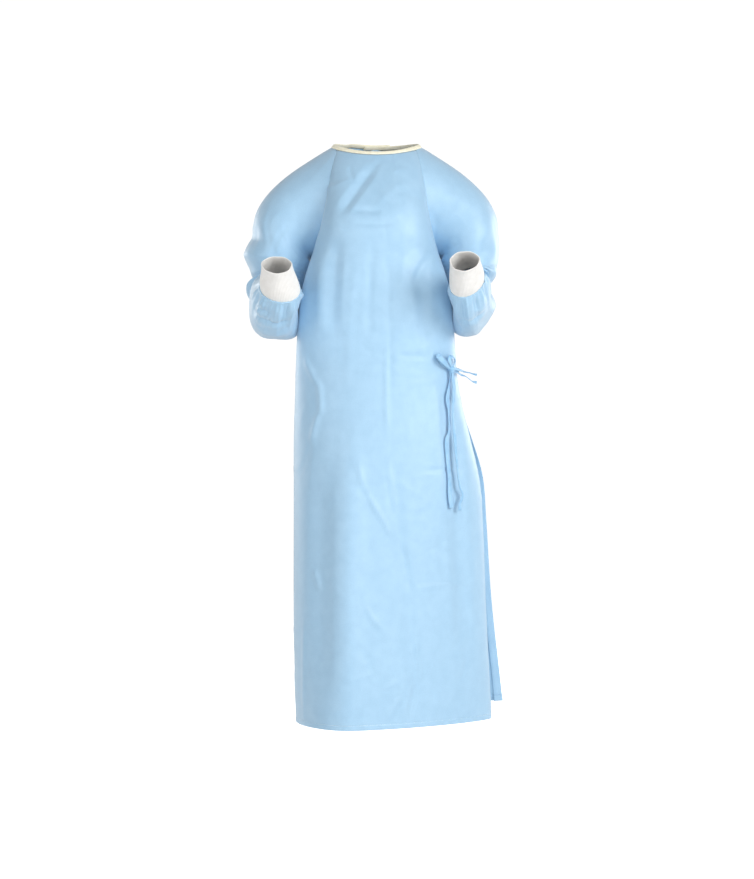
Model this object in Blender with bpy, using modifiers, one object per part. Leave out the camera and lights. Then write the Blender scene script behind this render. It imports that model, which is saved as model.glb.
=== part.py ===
"""A disposable surgical gown, standing open in the shape that it has when worn, with nobody inside.

The gown faces -Y, its wearer's left is +X and Z is up. The origin lies midway between the two points where
the gown rests on the shoulders, beside the neck. Sizes are in metres and angles in degrees.
"""

import math
from collections import namedtuple

import bpy
import numpy as np

# Cloth and seams
CLOTH = 0.0012  # wall of every sewn panel
KNIT = 0.0020  # wall of the knitted cuffs
SEAM_GAP = 0.0003  # between two pieces that are sewn together
WRIST_GAP = 0.0007  # along the arm, where the two walls lie at an angle to each other
SEAM_PULL = 0.0022  # a sewn seam draws the cloth in by this much

# Heights of the body
HEM_Z = -1.180
ARMPIT_Z = -0.228
OUTER_CORNER_LIFT = 0.018  # the outer back panel's free corner is pulled up by its belt

# Neck: an oval that dips at the front
NECK_HALF_WIDTH = 0.092
NECK_HALF_DEPTH = 0.072
NECK_CENTRE_Y = -0.006
NECK_Z_MEAN, NECK_Z_DIP, NECK_Z_SADDLE = -0.005, -0.015, -0.005
NECK_FRONT_SEAM = 62.0  # where the raglan seams start, as angles from the centre front
NECK_BACK_SEAM = 125.0
BINDING_HEIGHT = 0.008
BINDING_THICKNESS = 0.0022
BINDING_IN, BINDING_UP = 0.62, 0.78  # the binding's slope

# Seams: how far behind the widest point of a section the side seams lie, as an angle round it
SIDE_SEAM = 14.0
UNDERARM_Y, UNDERARM_HALF_WIDTH = 0.018, 0.078  # the tuck between body and arm
BACK_BOW = 2.2  # how square the back of a section is: 2 is an oval

# Mesh density
UPPER_ROWS = 12  # from armpit to neck, and so the columns along one raglan seam
LOWER_ROWS = 15
ROW_CROWDING = 1.3  # the lower rows crowd towards the armpits' height
FRONT_COLUMNS = 22
BACK_COLUMNS = 14
NECK_COLUMNS = 2  # of the sleeve, on each side of the shoulder line
CAP_ROWS = 7
ARM_ROWS = 13
CUFF_ROWS = 3

# A horizontal section of the body: the widest points right and left, the front ridge, the back, and how square
# each front quarter is. The tuck is how far the side is pressed in behind the front fold, by the arm.
Section = namedtuple(
    "Section", "z right_x right_y ridge_x front_y left_x left_y back_x back_y right_bow left_bow tuck"
)
SECTIONS = (
    Section(-0.228, -0.132, -0.050, 0.000, -0.150, 0.128, -0.050, 0.000, 0.108, 2.30, 2.30, 0.003),
    Section(-0.275, -0.146, -0.073, 0.000, -0.153, 0.143, -0.073, 0.000, 0.108, 2.30, 2.30, 0.010),
    Section(-0.316, -0.154, -0.085, 0.000, -0.153, 0.152, -0.085, 0.000, 0.104, 2.20, 2.20, 0.015),
    Section(-0.409, -0.163, -0.062, -0.005, -0.150, 0.160, -0.062, 0.000, 0.100, 2.10, 2.10, 0.012),
    Section(-0.461, -0.166, -0.042, -0.010, -0.149, 0.164, -0.045, 0.000, 0.102, 2.00, 2.00, 0.006),
    Section(-0.523, -0.168, -0.036, -0.015, -0.151, 0.174, -0.035, 0.000, 0.110, 2.00, 1.90, 0.002),
    Section(-0.606, -0.170, -0.036, -0.025, -0.156, 0.194, -0.030, 0.005, 0.122, 1.90, 1.80, 0.000),
    Section(-0.688, -0.170, -0.038, -0.035, -0.162, 0.213, -0.026, 0.010, 0.132, 1.90, 1.65, 0.000),
    Section(-0.771, -0.170, -0.040, -0.042, -0.168, 0.219, -0.022, 0.015, 0.140, 1.85, 1.55, 0.000),
    Section(-0.936, -0.170, -0.045, -0.050, -0.180, 0.2255, -0.018, 0.020, 0.150, 1.80, 1.45, 0.000),
    Section(-1.102, -0.168, -0.048, -0.055, -0.190, 0.234, -0.016, 0.025, 0.158, 1.75, 1.38, 0.000),
    Section(-1.180, -0.165, -0.050, -0.057, -0.194, 0.238, -0.016, 0.028, 0.160, 1.75, 1.35, 0.000),
)

# A soft fold of a panel, as seen from the front or the back: its two ends, its half width, and how far it stands
# out of the cloth. A trough has a negative depth.
Fold = namedtuple("Fold", "x1 z1 x2 z2 half_width depth")
FRONT_FOLDS = (
    Fold(-0.002, -0.046, -0.072, -0.150, 0.022, -0.0070),
    Fold(-0.045, -0.150, 0.015, -0.146, 0.016, -0.0030),
    Fold(-0.076, -0.196, -0.090, -0.420, 0.022, -0.0070),
    Fold(-0.015, -0.210, -0.018, -0.400, 0.016, -0.0040),
    Fold(0.020, -0.210, 0.026, -0.560, 0.018, -0.0045),
    Fold(0.085, -0.240, 0.100, -0.430, 0.022, -0.0040),
    Fold(-0.138, -0.430, -0.112, -0.590, 0.018, 0.0050),
    Fold(0.024, -0.600, 0.084, -1.120, 0.022, -0.0045),
    Fold(-0.100, -0.600, -0.110, -1.100, 0.030, -0.0050),
    Fold(0.150, -0.470, 0.182, -1.100, 0.026, -0.0050),
    Fold(0.118, -0.470, 0.136, -0.760, 0.018, 0.0035),
)
BACK_FOLDS = (
    Fold(-0.070, -0.110, -0.088, -0.420, 0.026, -0.0080),
    Fold(0.066, -0.130, 0.080, -0.400, 0.024, -0.0070),
    Fold(-0.010, -0.240, 0.030, -0.450, 0.024, -0.0070),
    Fold(-0.110, -0.500, -0.128, -1.150, 0.034, -0.0110),
    Fold(-0.030, -0.480, -0.055, -1.120, 0.036, -0.0120),
    Fold(0.060, -0.470, 0.050, -1.140, 0.034, -0.0110),
    Fold(0.130, -0.470, 0.142, -1.100, 0.030, -0.0090),
)

# How far across the back each panel reaches, from the right side seam (0) to the left (1), at a height. The body is
# one tube of cloth above the neck's closure and wraps over itself below it.
Edge = namedtuple("Edge", "z outer inner flare")
EDGES = (
    Edge(0.008, 0.664, 0.336, 0.000),
    Edge(-0.120, 0.690, 0.320, 0.000),
    Edge(-0.228, 0.740, 0.300, 0.001),
    Edge(-0.340, 0.860, 0.285, 0.002),
    Edge(-0.461, 0.950, 0.270, 0.003),
    Edge(-0.606, 0.945, 0.260, 0.007),
    Edge(-0.771, 0.940, 0.250, 0.008),
    Edge(-0.936, 0.935, 0.245, 0.016),
    Edge(-1.180, 0.930, 0.240, 0.035),
)
LAYER_GAP = 0.0085  # from the inner back panel's face to the outer panel's face
LAYER_START, LAYER_FULL = 0.03, 0.22  # where the outer panel starts to lift, and where it is clear
FLARE_START = 0.55  # the free edge stands off from here on
TURN_OUT, TURN_OUT_WIDTH = 62.0, 0.050  # the angle at that edge, and the width that bends
TURN_OUT_TOP, TURN_OUT_FULL = -0.52, -0.76  # heights between which it comes in

# The raglan seams of the left side, as the two inner control points of a Bezier curve from armpit to neck
FRONT_SEAM_CONTROLS = ((0.112, -0.095, -0.190), (0.100, -0.112, -0.075))
BACK_SEAM_CONTROLS = ((0.118, 0.080, -0.190), (0.092, 0.105, -0.070))
SEAM_REACH = 3.0  # how quickly a seam's own curve dies out across its panel
CHEST_STEP = 0.012  # the panels' direction at the armpits is measured over this height
CHEST_FULLNESS = 0.200  # and followed for this far above them

# A sleeve's sections, drawn for a left arm: centre, half sizes across and in depth, how far its outer side is
# raised, how far the arm has turned from hanging down (0) to pointing forwards (90), and how square the section is
Station = namedtuple("Station", "x y z half_width half_depth lean pitch bow")
ARMS = {
    "left": (
        Station(0.1965, 0.005, -0.2025, 0.0660, 0.0840, 31.0, 0.0, 2.0),
        Station(0.1980, 0.006, -0.2570, 0.0570, 0.0750, 6.0, 5.0, 2.0),
        Station(0.1990, -0.002, -0.2930, 0.0515, 0.0660, 0.0, 32.0, 2.0),
        Station(0.2000, -0.024, -0.3170, 0.0465, 0.0630, 0.0, 62.0, 2.0),
        Station(0.1995, -0.056, -0.3280, 0.0445, 0.0640, 0.0, 86.0, 2.0),
        Station(0.1945, -0.100, -0.3290, 0.0395, 0.0620, 4.0, 95.0, 2.0),
        Station(0.1890, -0.142, -0.3220, 0.0385, 0.0560, 8.0, 104.0, 2.0),
        Station(0.1840, -0.175, -0.3100, 0.0375, 0.0470, 12.0, 115.0, 2.0),
        Station(0.1790, -0.200, -0.2940, 0.0365, 0.0385, 16.0, 124.0, 2.0),
    ),
    "right": (
        Station(0.2015, 0.005, -0.2075, 0.0670, 0.0840, 31.0, 0.0, 2.0),
        Station(0.2020, 0.006, -0.2620, 0.0590, 0.0750, 6.0, 5.0, 2.1),
        Station(0.2050, -0.002, -0.2980, 0.0560, 0.0660, 0.0, 32.0, 2.3),
        Station(0.2085, -0.024, -0.3220, 0.0525, 0.0640, 0.0, 62.0, 2.5),
        Station(0.2095, -0.056, -0.3330, 0.0505, 0.0655, 0.0, 88.0, 2.6),
        Station(0.2085, -0.100, -0.3340, 0.0490, 0.0640, 0.0, 97.0, 2.5),
        Station(0.2035, -0.142, -0.3300, 0.0465, 0.0570, 2.0, 108.0, 2.3),
        Station(0.1965, -0.175, -0.3210, 0.0440, 0.0470, 4.0, 121.0, 2.1),
        Station(0.1895, -0.200, -0.3080, 0.0410, 0.0385, 6.0, 132.0, 2.0),
    ),
}
SHOULDER_RUN = np.array((0.92, 0.0, -0.38))  # the way that the shoulder line leaves the neck
SLEEVE_LIFT = np.array((0.30, 0.0, 0.15))  # how much the cap springs up and out of its seam
SEAM_FLOW = 0.45  # how much it goes on in the body panels' own direction
CAP_FULLNESS, CAP_DROP = 1.18, 0.92
NECK_SHARE = 22.0  # the angle of the arm that the sleeve's short neck edge takes on each side

# The crumples of a bent sleeve: place along the arm rows (0 to 1), direction round the arm (0 out, 90 front or
# top, 180 inside, 270 back or underneath), their half lengths in both, and height
Crumple = namedtuple("Crumple", "side place around half_place half_around height")
CRUMPLES = (
    Crumple("right", 0.10, 350.0, 0.07, 75.0, 0.0120),
    Crumple("right", 0.23, 350.0, 0.05, 80.0, -0.0070),
    Crumple("right", 0.36, 340.0, 0.07, 85.0, 0.0085),
    Crumple("right", 0.24, 90.0, 0.06, 50.0, -0.0060),
    Crumple("right", 0.60, 80.0, 0.08, 70.0, 0.0060),
    Crumple("right", 0.72, 270.0, 0.08, 60.0, -0.0060),
    Crumple("left", 0.08, 10.0, 0.07, 60.0, -0.0020),
    Crumple("left", 0.24, 5.0, 0.05, 80.0, -0.0100),
    Crumple("left", 0.40, 350.0, 0.08, 80.0, 0.0050),
    Crumple("left", 0.26, 90.0, 0.06, 50.0, -0.0060),
    Crumple("left", 0.58, 100.0, 0.08, 60.0, 0.0050),
    Crumple("left", 0.74, 280.0, 0.08, 60.0, -0.0060),
)
GATHERS = 8  # waves where a sleeve is gathered into its cuff
GATHER_DEPTH = 0.0028
GATHER_START, GATHER_PEAK = 0.66, 0.91  # places along the arm rows; they end flat at the cuff's seam

Side = namedtuple("Side", "name sign")
SIDES = (Side("left", 1.0), Side("right", -1.0))

# A cuff's wrist end, after its base at the arm's last section: how far its centre has moved out, its half sizes,
# lean and pitch
CUFF_LENGTH = 0.062
CUFF_BASE_INSET = 0.0008  # the knit's mouth is a little smaller than the gathered sleeve's end
Wrist = namedtuple("Wrist", "out half_width half_depth lean pitch")
WRISTS = {
    "left": Wrist(-0.0075, 0.0315, 0.0280, 4.0, 126.0),
    "right": Wrist(0.0045, 0.0320, 0.0280, 2.0, 134.0),
}

# Belt at the left hip. A strip's stations: place seen from the front, how far its middle lies in front of the
# front panel, its width, and how far it is turned from lying flat
Strip = namedtuple("Strip", "x z out width turn")
KNOT = Strip(0.1525, -0.4625, 0.0095, 0.0, 0.0)
KNOT_HALF_SIZES = np.array((0.0065, 0.0060, 0.0075))
BELT_THICKNESS = 0.0012
BELT_Z = -0.4625
BELT_OUT = 0.0045  # from the gown's side to the belt that comes round from the outer back panel
BELT_ON_PANEL = 0.0044  # from that panel's face to the middle of the belt sewn on it
BELT_LAP = 0.030  # how far the belt lies on that panel, where it is sewn on
BELT_OVERHANG, BELT_SPAN = 0.008, 0.035  # how far past the panel's edge it runs straight on, and hangs clear
BELT_WIDTHS = (0.0130, 0.0055)  # on the panel and at the knot
BELT_STEPS = 14
LOOPS = ("tie_loop_large", "tie_loop_small")  # both ends in the knot
TIES = {
    "belt_front": (
        Strip(0.1445, -0.4605, 0.0045, 0.0060, 0.0),
        Strip(0.1385, -0.4555, 0.0022, 0.0090, 0.0),
        Strip(0.1320, -0.4490, 0.0014, 0.0110, 0.0),
        Strip(0.1260, -0.4430, 0.0014, 0.0110, 0.0),
    ),
    "tie_loop_large": (
        Strip(0.1455, -0.4560, 0.0075, 0.0060, 0.0),
        Strip(0.1372, -0.4490, 0.0070, 0.0120, 0.0),
        Strip(0.1288, -0.4415, 0.0060, 0.0135, 5.0),
        Strip(0.1245, -0.4385, 0.0085, 0.0130, 10.0),
        Strip(0.1288, -0.4420, 0.0115, 0.0135, 5.0),
        Strip(0.1382, -0.4515, 0.0115, 0.0115, 0.0),
        Strip(0.1440, -0.4590, 0.0105, 0.0060, 0.0),
    ),
    "tie_loop_small": (
        Strip(0.1515, -0.4520, 0.0155, 0.0060, 10.0),
        Strip(0.1480, -0.4470, 0.0155, 0.0075, 20.0),
        Strip(0.1472, -0.4415, 0.0140, 0.0080, 35.0),
        Strip(0.1508, -0.4375, 0.0120, 0.0085, 50.0),
        Strip(0.1560, -0.4395, 0.0095, 0.0085, 50.0),
        Strip(0.1592, -0.4460, 0.0080, 0.0080, 30.0),
        Strip(0.1585, -0.4515, 0.0105, 0.0060, 20.0),
    ),
    "tie_end_upper": (
        Strip(0.1610, -0.4600, 0.0150, 0.0050, 10.0),
        Strip(0.1754, -0.4650, 0.0140, 0.0050, 30.0),
        Strip(0.1900, -0.4690, 0.0140, 0.0045, 50.0),
        Strip(0.2054, -0.4730, 0.0150, 0.0050, 20.0),
    ),
    "tie_end_lower": (
        Strip(0.1600, -0.4710, 0.0095, 0.0050, 10.0),
        Strip(0.1748, -0.4735, 0.0095, 0.0050, 30.0),
        Strip(0.1868, -0.4785, 0.0105, 0.0045, 50.0),
        Strip(0.1950, -0.4855, 0.0110, 0.0045, 40.0),
        Strip(0.2054, -0.4885, 0.0120, 0.0060, 10.0),
    ),
    "tie_tail_long": (
        Strip(0.1471, -0.4725, 0.0060, 0.0060, 10.0),
        Strip(0.1480, -0.4916, 0.0045, 0.0070, 10.0),
        Strip(0.1437, -0.5225, 0.0045, 0.0120, 5.0),
        Strip(0.1470, -0.5500, 0.0045, 0.0085, 10.0),
        Strip(0.1470, -0.5870, 0.0045, 0.0075, 15.0),
        Strip(0.1423, -0.6080, 0.0045, 0.0125, 5.0),
        Strip(0.1430, -0.6400, 0.0045, 0.0095, 0.0),
        Strip(0.1470, -0.6800, 0.0045, 0.0090, 0.0),
        Strip(0.1485, -0.7150, 0.0045, 0.0110, 0.0),
        Strip(0.1520, -0.7430, 0.0045, 0.0105, 0.0),
    ),
    "tie_tail_short": (
        Strip(0.1555, -0.4740, 0.0120, 0.0080, 0.0),
        Strip(0.1570, -0.5070, 0.0110, 0.0125, 0.0),
        Strip(0.1550, -0.5400, 0.0110, 0.0085, 10.0),
        Strip(0.1550, -0.5656, 0.0110, 0.0080, 15.0),
        Strip(0.1590, -0.6060, 0.0110, 0.0110, 5.0),
        Strip(0.1609, -0.6335, 0.0110, 0.0085, 10.0),
        Strip(0.1641, -0.6646, 0.0100, 0.0070, 15.0),
        Strip(0.1680, -0.6980, 0.0090, 0.0060, 20.0),
        Strip(0.1750, -0.7170, 0.0080, 0.0055, 10.0),
        Strip(0.1690, -0.7350, 0.0080, 0.0070, 0.0),
        Strip(0.1690, -0.7480, 0.0075, 0.0090, 0.0),
    ),
}
STRIP_STEPS = 3  # rows between two stations of a strip

GOWN_BLUE = (0.413, 0.638, 0.855, 1.0)
BELT_BLUE = (0.330, 0.560, 0.820, 1.0)
KNIT_WHITE = (0.860, 0.850, 0.830, 1.0)
BINDING_CREAM = (0.880, 0.860, 0.740, 1.0)


def smooth(t):
    """0 up to t = 0, 1 from t = 1, and an S curve between."""
    t = np.clip(t, 0.0, 1.0)
    return t * t * (3.0 - 2.0 * t)


def bump(t):
    """A soft hill that is 1 at t = 0 and 0 from t = 1 and -1 outwards."""
    return (1.0 - np.clip(t * t, 0.0, 1.0)) ** 2


def unit(vector):
    return vector / max(np.linalg.norm(vector), 1e-12)


def hermite(start, end, leave, arrive, t):
    return (
        (2 * t**3 - 3 * t**2 + 1) * start
        + (t**3 - 2 * t**2 + t) * leave
        + (3 * t**2 - 2 * t**3) * end
        + (t**3 - t**2) * arrive
    )


def through(table, key, column, at):
    """A table's column at a place, on a smooth curve through the rows. The key column runs downwards."""
    keys = np.array([-getattr(row, key) for row in table])
    values = np.array([getattr(row, column) for row in table])
    at = float(np.clip(-at, keys[0], keys[-1]))
    slopes = np.gradient(values, keys)
    k = int(np.clip(np.searchsorted(keys, at) - 1, 0, len(keys) - 2))
    span = keys[k + 1] - keys[k]
    t = (at - keys[k]) / span
    return float(hermite(values[k], values[k + 1], slopes[k] * span, slopes[k + 1] * span, t))


def rows_through(table, at):
    """Every column of a table at a place along its rows, from 0 to 1, on smooth curves."""
    values = np.array(table, float)
    slopes = np.gradient(values, axis=0)
    place = at * (len(table) - 1)
    k = int(min(place, len(table) - 2))
    return type(table[0])(*hermite(values[k], values[k + 1], slopes[k], slopes[k + 1], place - k))


def evenly(points, shares):
    """Points at the given shares of a line's length."""
    points = np.asarray(points)
    lengths = np.concatenate([[0.0], np.cumsum(np.linalg.norm(np.diff(points, axis=0), axis=1))])
    wanted = np.asarray(shares) * lengths[-1]
    return np.stack([np.interp(wanted, lengths, points[:, k]) for k in range(points.shape[1])], axis=-1)


# The neck and the body's sections


def neck_point(angle):
    """A point of the neck's edge. 0 is the centre front and 90 the left shoulder."""
    a = math.radians(angle)
    return np.array(
        (
            NECK_HALF_WIDTH * math.sin(a),
            NECK_CENTRE_Y - NECK_HALF_DEPTH * math.cos(a),
            NECK_Z_MEAN + NECK_Z_DIP * math.cos(a) + NECK_Z_SADDLE * math.cos(2 * a),
        )
    )


def section_point(row, angle):
    """A point of a section. 0 is the front ridge, 90 the widest point left, 180 the back, -90 right."""
    angle = (angle + 180.0) % 360.0 - 180.0
    is_left, is_front = angle >= 0, abs(angle) <= 90
    side_x, side_y = (row.left_x, row.left_y) if is_left else (row.right_x, row.right_y)
    middle_x = row.ridge_x if is_front else row.back_x
    bow = (row.left_bow if is_left else row.right_bow) if is_front else BACK_BOW
    end_y = row.front_y if is_front else row.back_y
    across = abs(math.sin(math.radians(angle))) ** (2 / bow)
    along = abs(math.cos(math.radians(angle))) ** (2 / bow)
    x = middle_x + (side_x - middle_x) * across
    y = side_y + (end_y - side_y) * along
    x -= math.copysign(row.tuck, side_x) * bump((y - UNDERARM_Y) / UNDERARM_HALF_WIDTH)
    return np.array((x, y, row.z))


def section_line(z, is_front):
    """Half a section, from the right side seam to the left one, round the front or the back."""
    row = Section(z, *(through(SECTIONS, "z", name, z) for name in Section._fields[1:]))
    turn = 90.0 + SIDE_SEAM
    angles = np.linspace(-turn, turn, 121) if is_front else np.linspace(-turn, turn - 360.0, 121)
    return np.array([section_point(row, a) for a in angles])


def neck_line(is_front):
    if is_front:
        angles = np.linspace(-NECK_FRONT_SEAM, NECK_FRONT_SEAM, 61)
    else:
        angles = np.linspace(-NECK_BACK_SEAM, NECK_BACK_SEAM - 360.0, 61)
    return np.array([neck_point(a) for a in angles])


def mirrored(points, sign):
    return np.asarray(points) * np.array((sign, 1.0, 1.0))


def raglan_seam(sign, is_front):
    """A raglan seam, from the armpit to the neck, with as many steps as the upper rows."""
    angle = NECK_FRONT_SEAM if is_front else NECK_BACK_SEAM
    turn = 90.0 + SIDE_SEAM
    row = Section(ARMPIT_Z, *(getattr(SECTIONS[0], name) for name in Section._fields[1:]))
    armpit = section_point(row, sign * turn)
    first, second = FRONT_SEAM_CONTROLS if is_front else BACK_SEAM_CONTROLS
    first, second = mirrored(first, sign), mirrored(second, sign)
    neck = neck_point(sign * angle)
    t = np.linspace(0.0, 1.0, UPPER_ROWS + 1)[:, None]
    return (1 - t) ** 3 * armpit + 3 * (1 - t) ** 2 * t * first + 3 * (1 - t) * t**2 * second + t**3 * neck


# The body's surface, as a grid of smooth lines across it, from the hem up to the neck


def lower_line(height, is_front, shares):
    return evenly(section_line(height, is_front), shares)


def upper_lines(is_front, shares):
    """The lines from the armpits' height to the neck, which end on the raglan seams."""
    shares = np.asarray(shares)
    ends = np.array((0.0, 1.0))
    bottom_line, top_line = section_line(ARMPIT_Z, is_front), neck_line(is_front)
    below_line = section_line(ARMPIT_Z - CHEST_STEP, is_front)
    seams = (raglan_seam(-1.0, is_front), raglan_seam(1.0, is_front))

    def plain(at, t):
        bottom, top = evenly(bottom_line, at), evenly(top_line, at)
        leave = (bottom - evenly(below_line, at)) / CHEST_STEP * CHEST_FULLNESS
        arrive = (top - bottom) * np.array((1.2, 1.2, 1.0))
        return hermite(bottom, top, leave, arrive, t)

    lines = []
    for k, t in enumerate(np.linspace(0.0, 1.0, UPPER_ROWS + 1)):
        line = plain(shares, t)
        corners = plain(ends, t)
        line = line + ((1 - shares) ** SEAM_REACH)[:, None] * (seams[0][k] - corners[0])
        line = line + (shares**SEAM_REACH)[:, None] * (seams[1][k] - corners[1])
        lines.append(line)
    return lines


def normals_of(grid):
    """Outward normals of a grid whose rows run upwards and whose columns run the way round that faces out."""
    across = np.gradient(grid, axis=1)
    up = np.gradient(grid, axis=0)
    normal = np.cross(across, up)
    return normal / np.maximum(np.linalg.norm(normal, axis=2, keepdims=True), 1e-12)


def folded(grid, folds):
    """The grid with its soft folds, each a rounded ridge or trough that fades at its ends."""
    x, z = grid[..., 0], grid[..., 2]
    height = np.zeros_like(x)
    for fold in folds:
        run = np.array((fold.x2 - fold.x1, fold.z2 - fold.z1))
        length = np.linalg.norm(run)
        along = ((x - fold.x1) * run[0] + (z - fold.z1) * run[1]) / length
        aside = ((x - fold.x1) * run[1] - (z - fold.z1) * run[0]) / length
        height += fold.depth * bump(aside / fold.half_width) * bump(2 * along / length - 1)
    return grid + normals_of(grid) * height[..., None]


def body_grid(is_front, shares_at, lift=0.0):
    """The body from hem to neck. shares_at(z) gives the columns' places on a line at that height."""
    rows = []
    for down in np.linspace(1.0, 0.0, LOWER_ROWS + 1)[:-1]:
        z = ARMPIT_Z + (HEM_Z - ARMPIT_Z) * down**ROW_CROWDING
        shares = shares_at(z)
        line = lower_line(z, is_front, shares)
        raised = smooth((-0.9 - z) / (-0.9 - HEM_Z)) * smooth((shares - 0.5) / 0.45)
        line[:, 2] += lift * raised
        rows.append(line)
    for k in range(UPPER_ROWS + 1):
        z = ARMPIT_Z + (neck_point(180.0)[2] - ARMPIT_Z) * k / UPPER_ROWS
        rows.append(upper_lines(is_front, shares_at(z))[k])
    return np.array(rows)


def pulled_in(grid, columns):
    """Draws the seam columns in towards the body's axis, so that the cloth swells a little beside them."""
    grid = grid.copy()
    for c in columns:
        inward = -grid[:, c] * np.array((1.0, 1.0, 0.0))
        grid[:, c] += SEAM_PULL * inward / np.linalg.norm(inward, axis=1, keepdims=True)
    return grid


def within(start, end, columns, width, gap_start, gap_end):
    """Places across a panel, half a seam's gap in from each sewn edge."""
    low = start + (0.5 * SEAM_GAP / width if gap_start else 0.0)
    high = end - (0.5 * SEAM_GAP / width if gap_end else 0.0)
    return np.linspace(low, high, columns + 1)


def front_grid():
    width = 0.50  # the front's mean width, which turns the gap into a share
    grid = body_grid(True, lambda z: within(0.0, 1.0, FRONT_COLUMNS, width, True, True))
    return pulled_in(folded(grid, FRONT_FOLDS), (0, -1))


def back_grid(is_outer):
    """A back panel. Its columns run from the wearer's left to the right, so that it faces backwards."""
    width = 0.40

    def shares(z):
        if is_outer:
            return within(0.0, through(EDGES, "z", "outer", z), BACK_COLUMNS, width, True, False)
        return within(through(EDGES, "z", "inner", z), 1.0, BACK_COLUMNS, width, False, True)

    grid = body_grid(False, shares, OUTER_CORNER_LIFT if is_outer else 0.0)[:, ::-1]
    grid = folded(grid, BACK_FOLDS)
    if is_outer:
        grid = turned_out(grid + normals_of(grid) * outer_rise(grid, shares)[..., None])
    return pulled_in(grid, (-1,) if is_outer else (0,))


def outer_rise(grid, shares_at):
    """How far the outer back panel stands off: clear of the inner one, and flared at its free edge."""
    rise = np.zeros(grid.shape[:2])
    for r, row in enumerate(grid):
        z = float(row[:, 2].mean())
        shares = shares_at(z)[::-1]
        rise[r] = LAYER_GAP * smooth((shares - LAYER_START) / (LAYER_FULL - LAYER_START))
        flare = through(EDGES, "z", "flare", z)
        rise[r] += flare * smooth((shares - FLARE_START) / (1.0 - FLARE_START))
    return rise


def turned_out(grid):
    """Bends the skirt's free edge outwards, so that its inside faces forwards. The first column is that edge."""
    steps = grid[:, :-1] - grid[:, 1:]
    lengths = np.linalg.norm(steps, axis=2)
    away = np.concatenate([np.zeros((len(grid), 1)), np.cumsum(lengths, axis=1)], axis=1)
    strength = smooth((TURN_OUT_TOP - grid[:, 0, 2]) / (TURN_OUT_TOP - TURN_OUT_FULL))
    angles = math.radians(TURN_OUT) * strength[:, None] * smooth(1.0 - away[:, :-1] / TURN_OUT_WIDTH)
    cos, sin = np.cos(angles), np.sin(angles)
    x, y = steps[..., 0], steps[..., 1]
    steps = np.stack([cos * x - sin * y, sin * x + cos * y, steps[..., 2]], axis=-1)
    reached = np.cumsum(steps[:, ::-1], axis=1)[:, ::-1]
    return np.concatenate([grid[:, -1:] + reached, grid[:, -1:]], axis=1)


# Sleeves and cuffs


def sewn_edge(grid, is_first):
    """A body panel's raglan edge, from armpit to neck, and how its cloth runs on past it, but for the armpit."""
    upper = grid[LOWER_ROWS:]
    edge, beside = (upper[:, 0], upper[:, 1]) if is_first else (upper[:, -1], upper[:, -2])
    along = np.gradient(edge, axis=0)
    along = along / np.linalg.norm(along, axis=1, keepdims=True)
    onward = edge - beside
    onward = onward - np.sum(onward * along, axis=1, keepdims=True) * along
    onward = onward / np.linalg.norm(onward, axis=1, keepdims=True)
    return edge, onward * smooth(np.linspace(0.0, 2.0, UPPER_ROWS + 1))[:, None]


def mouth_angles():
    """The angles round the arm of a sleeve's columns: neck to front seam, armpit, back seam, and neck again."""
    stops = (0.0, NECK_SHARE, 180.0, 360.0 - NECK_SHARE, 360.0)
    counts = (NECK_COLUMNS, UPPER_ROWS, UPPER_ROWS, NECK_COLUMNS)
    runs = [np.linspace(low, high, n + 1)[:-1] for low, high, n in zip(stops, stops[1:], counts)]
    return np.concatenate(runs)


def sleeve_mouth(side, front, back):
    """The sleeve's sewn edge, column by column, and the way that the cloth leaves it."""
    front_edge, front_onward = sewn_edge(front, side.sign < 0)
    back_edge, back_onward = sewn_edge(back, side.sign > 0)
    neck_front = [neck_point(side.sign * a) for a in np.linspace(90.0, NECK_FRONT_SEAM, NECK_COLUMNS + 1)]
    neck_back = [neck_point(side.sign * a) for a in np.linspace(NECK_BACK_SEAM, 90.0, NECK_COLUMNS + 1)]
    loose = mirrored(SHOULDER_RUN, side.sign)[None, :]
    points = (neck_front[:-1], front_edge[::-1][:-1], back_edge[:-1], [back_edge[-1]], neck_back[1:-1])
    onward = (
        np.repeat(loose, NECK_COLUMNS, axis=0),
        front_onward[::-1][:-1],
        back_onward[:1],
        back_onward[1:],
        np.repeat(loose, NECK_COLUMNS - 1, axis=0),
    )
    return np.concatenate(points), np.concatenate(onward)


def arm_ring(station, side, angles):
    """A ring of the sleeve: 0 degrees is its outer side, 90 the front or top."""
    lean, pitch = math.radians(station.lean), math.radians(station.pitch)
    outward = np.array((math.cos(lean), 0.0, math.sin(lean)))
    forward = np.array((0.0, -math.cos(pitch), math.sin(pitch)))
    a = np.radians(angles)[:, None]
    across = station.half_width * np.sign(np.cos(a)) * np.abs(np.cos(a)) ** (2.0 / station.bow)
    along = station.half_depth * np.sign(np.sin(a)) * np.abs(np.sin(a)) ** (2.0 / station.bow)
    centre = np.array((station.x, station.y, station.z))
    return mirrored(centre + across * outward + along * forward, side.sign)


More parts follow.
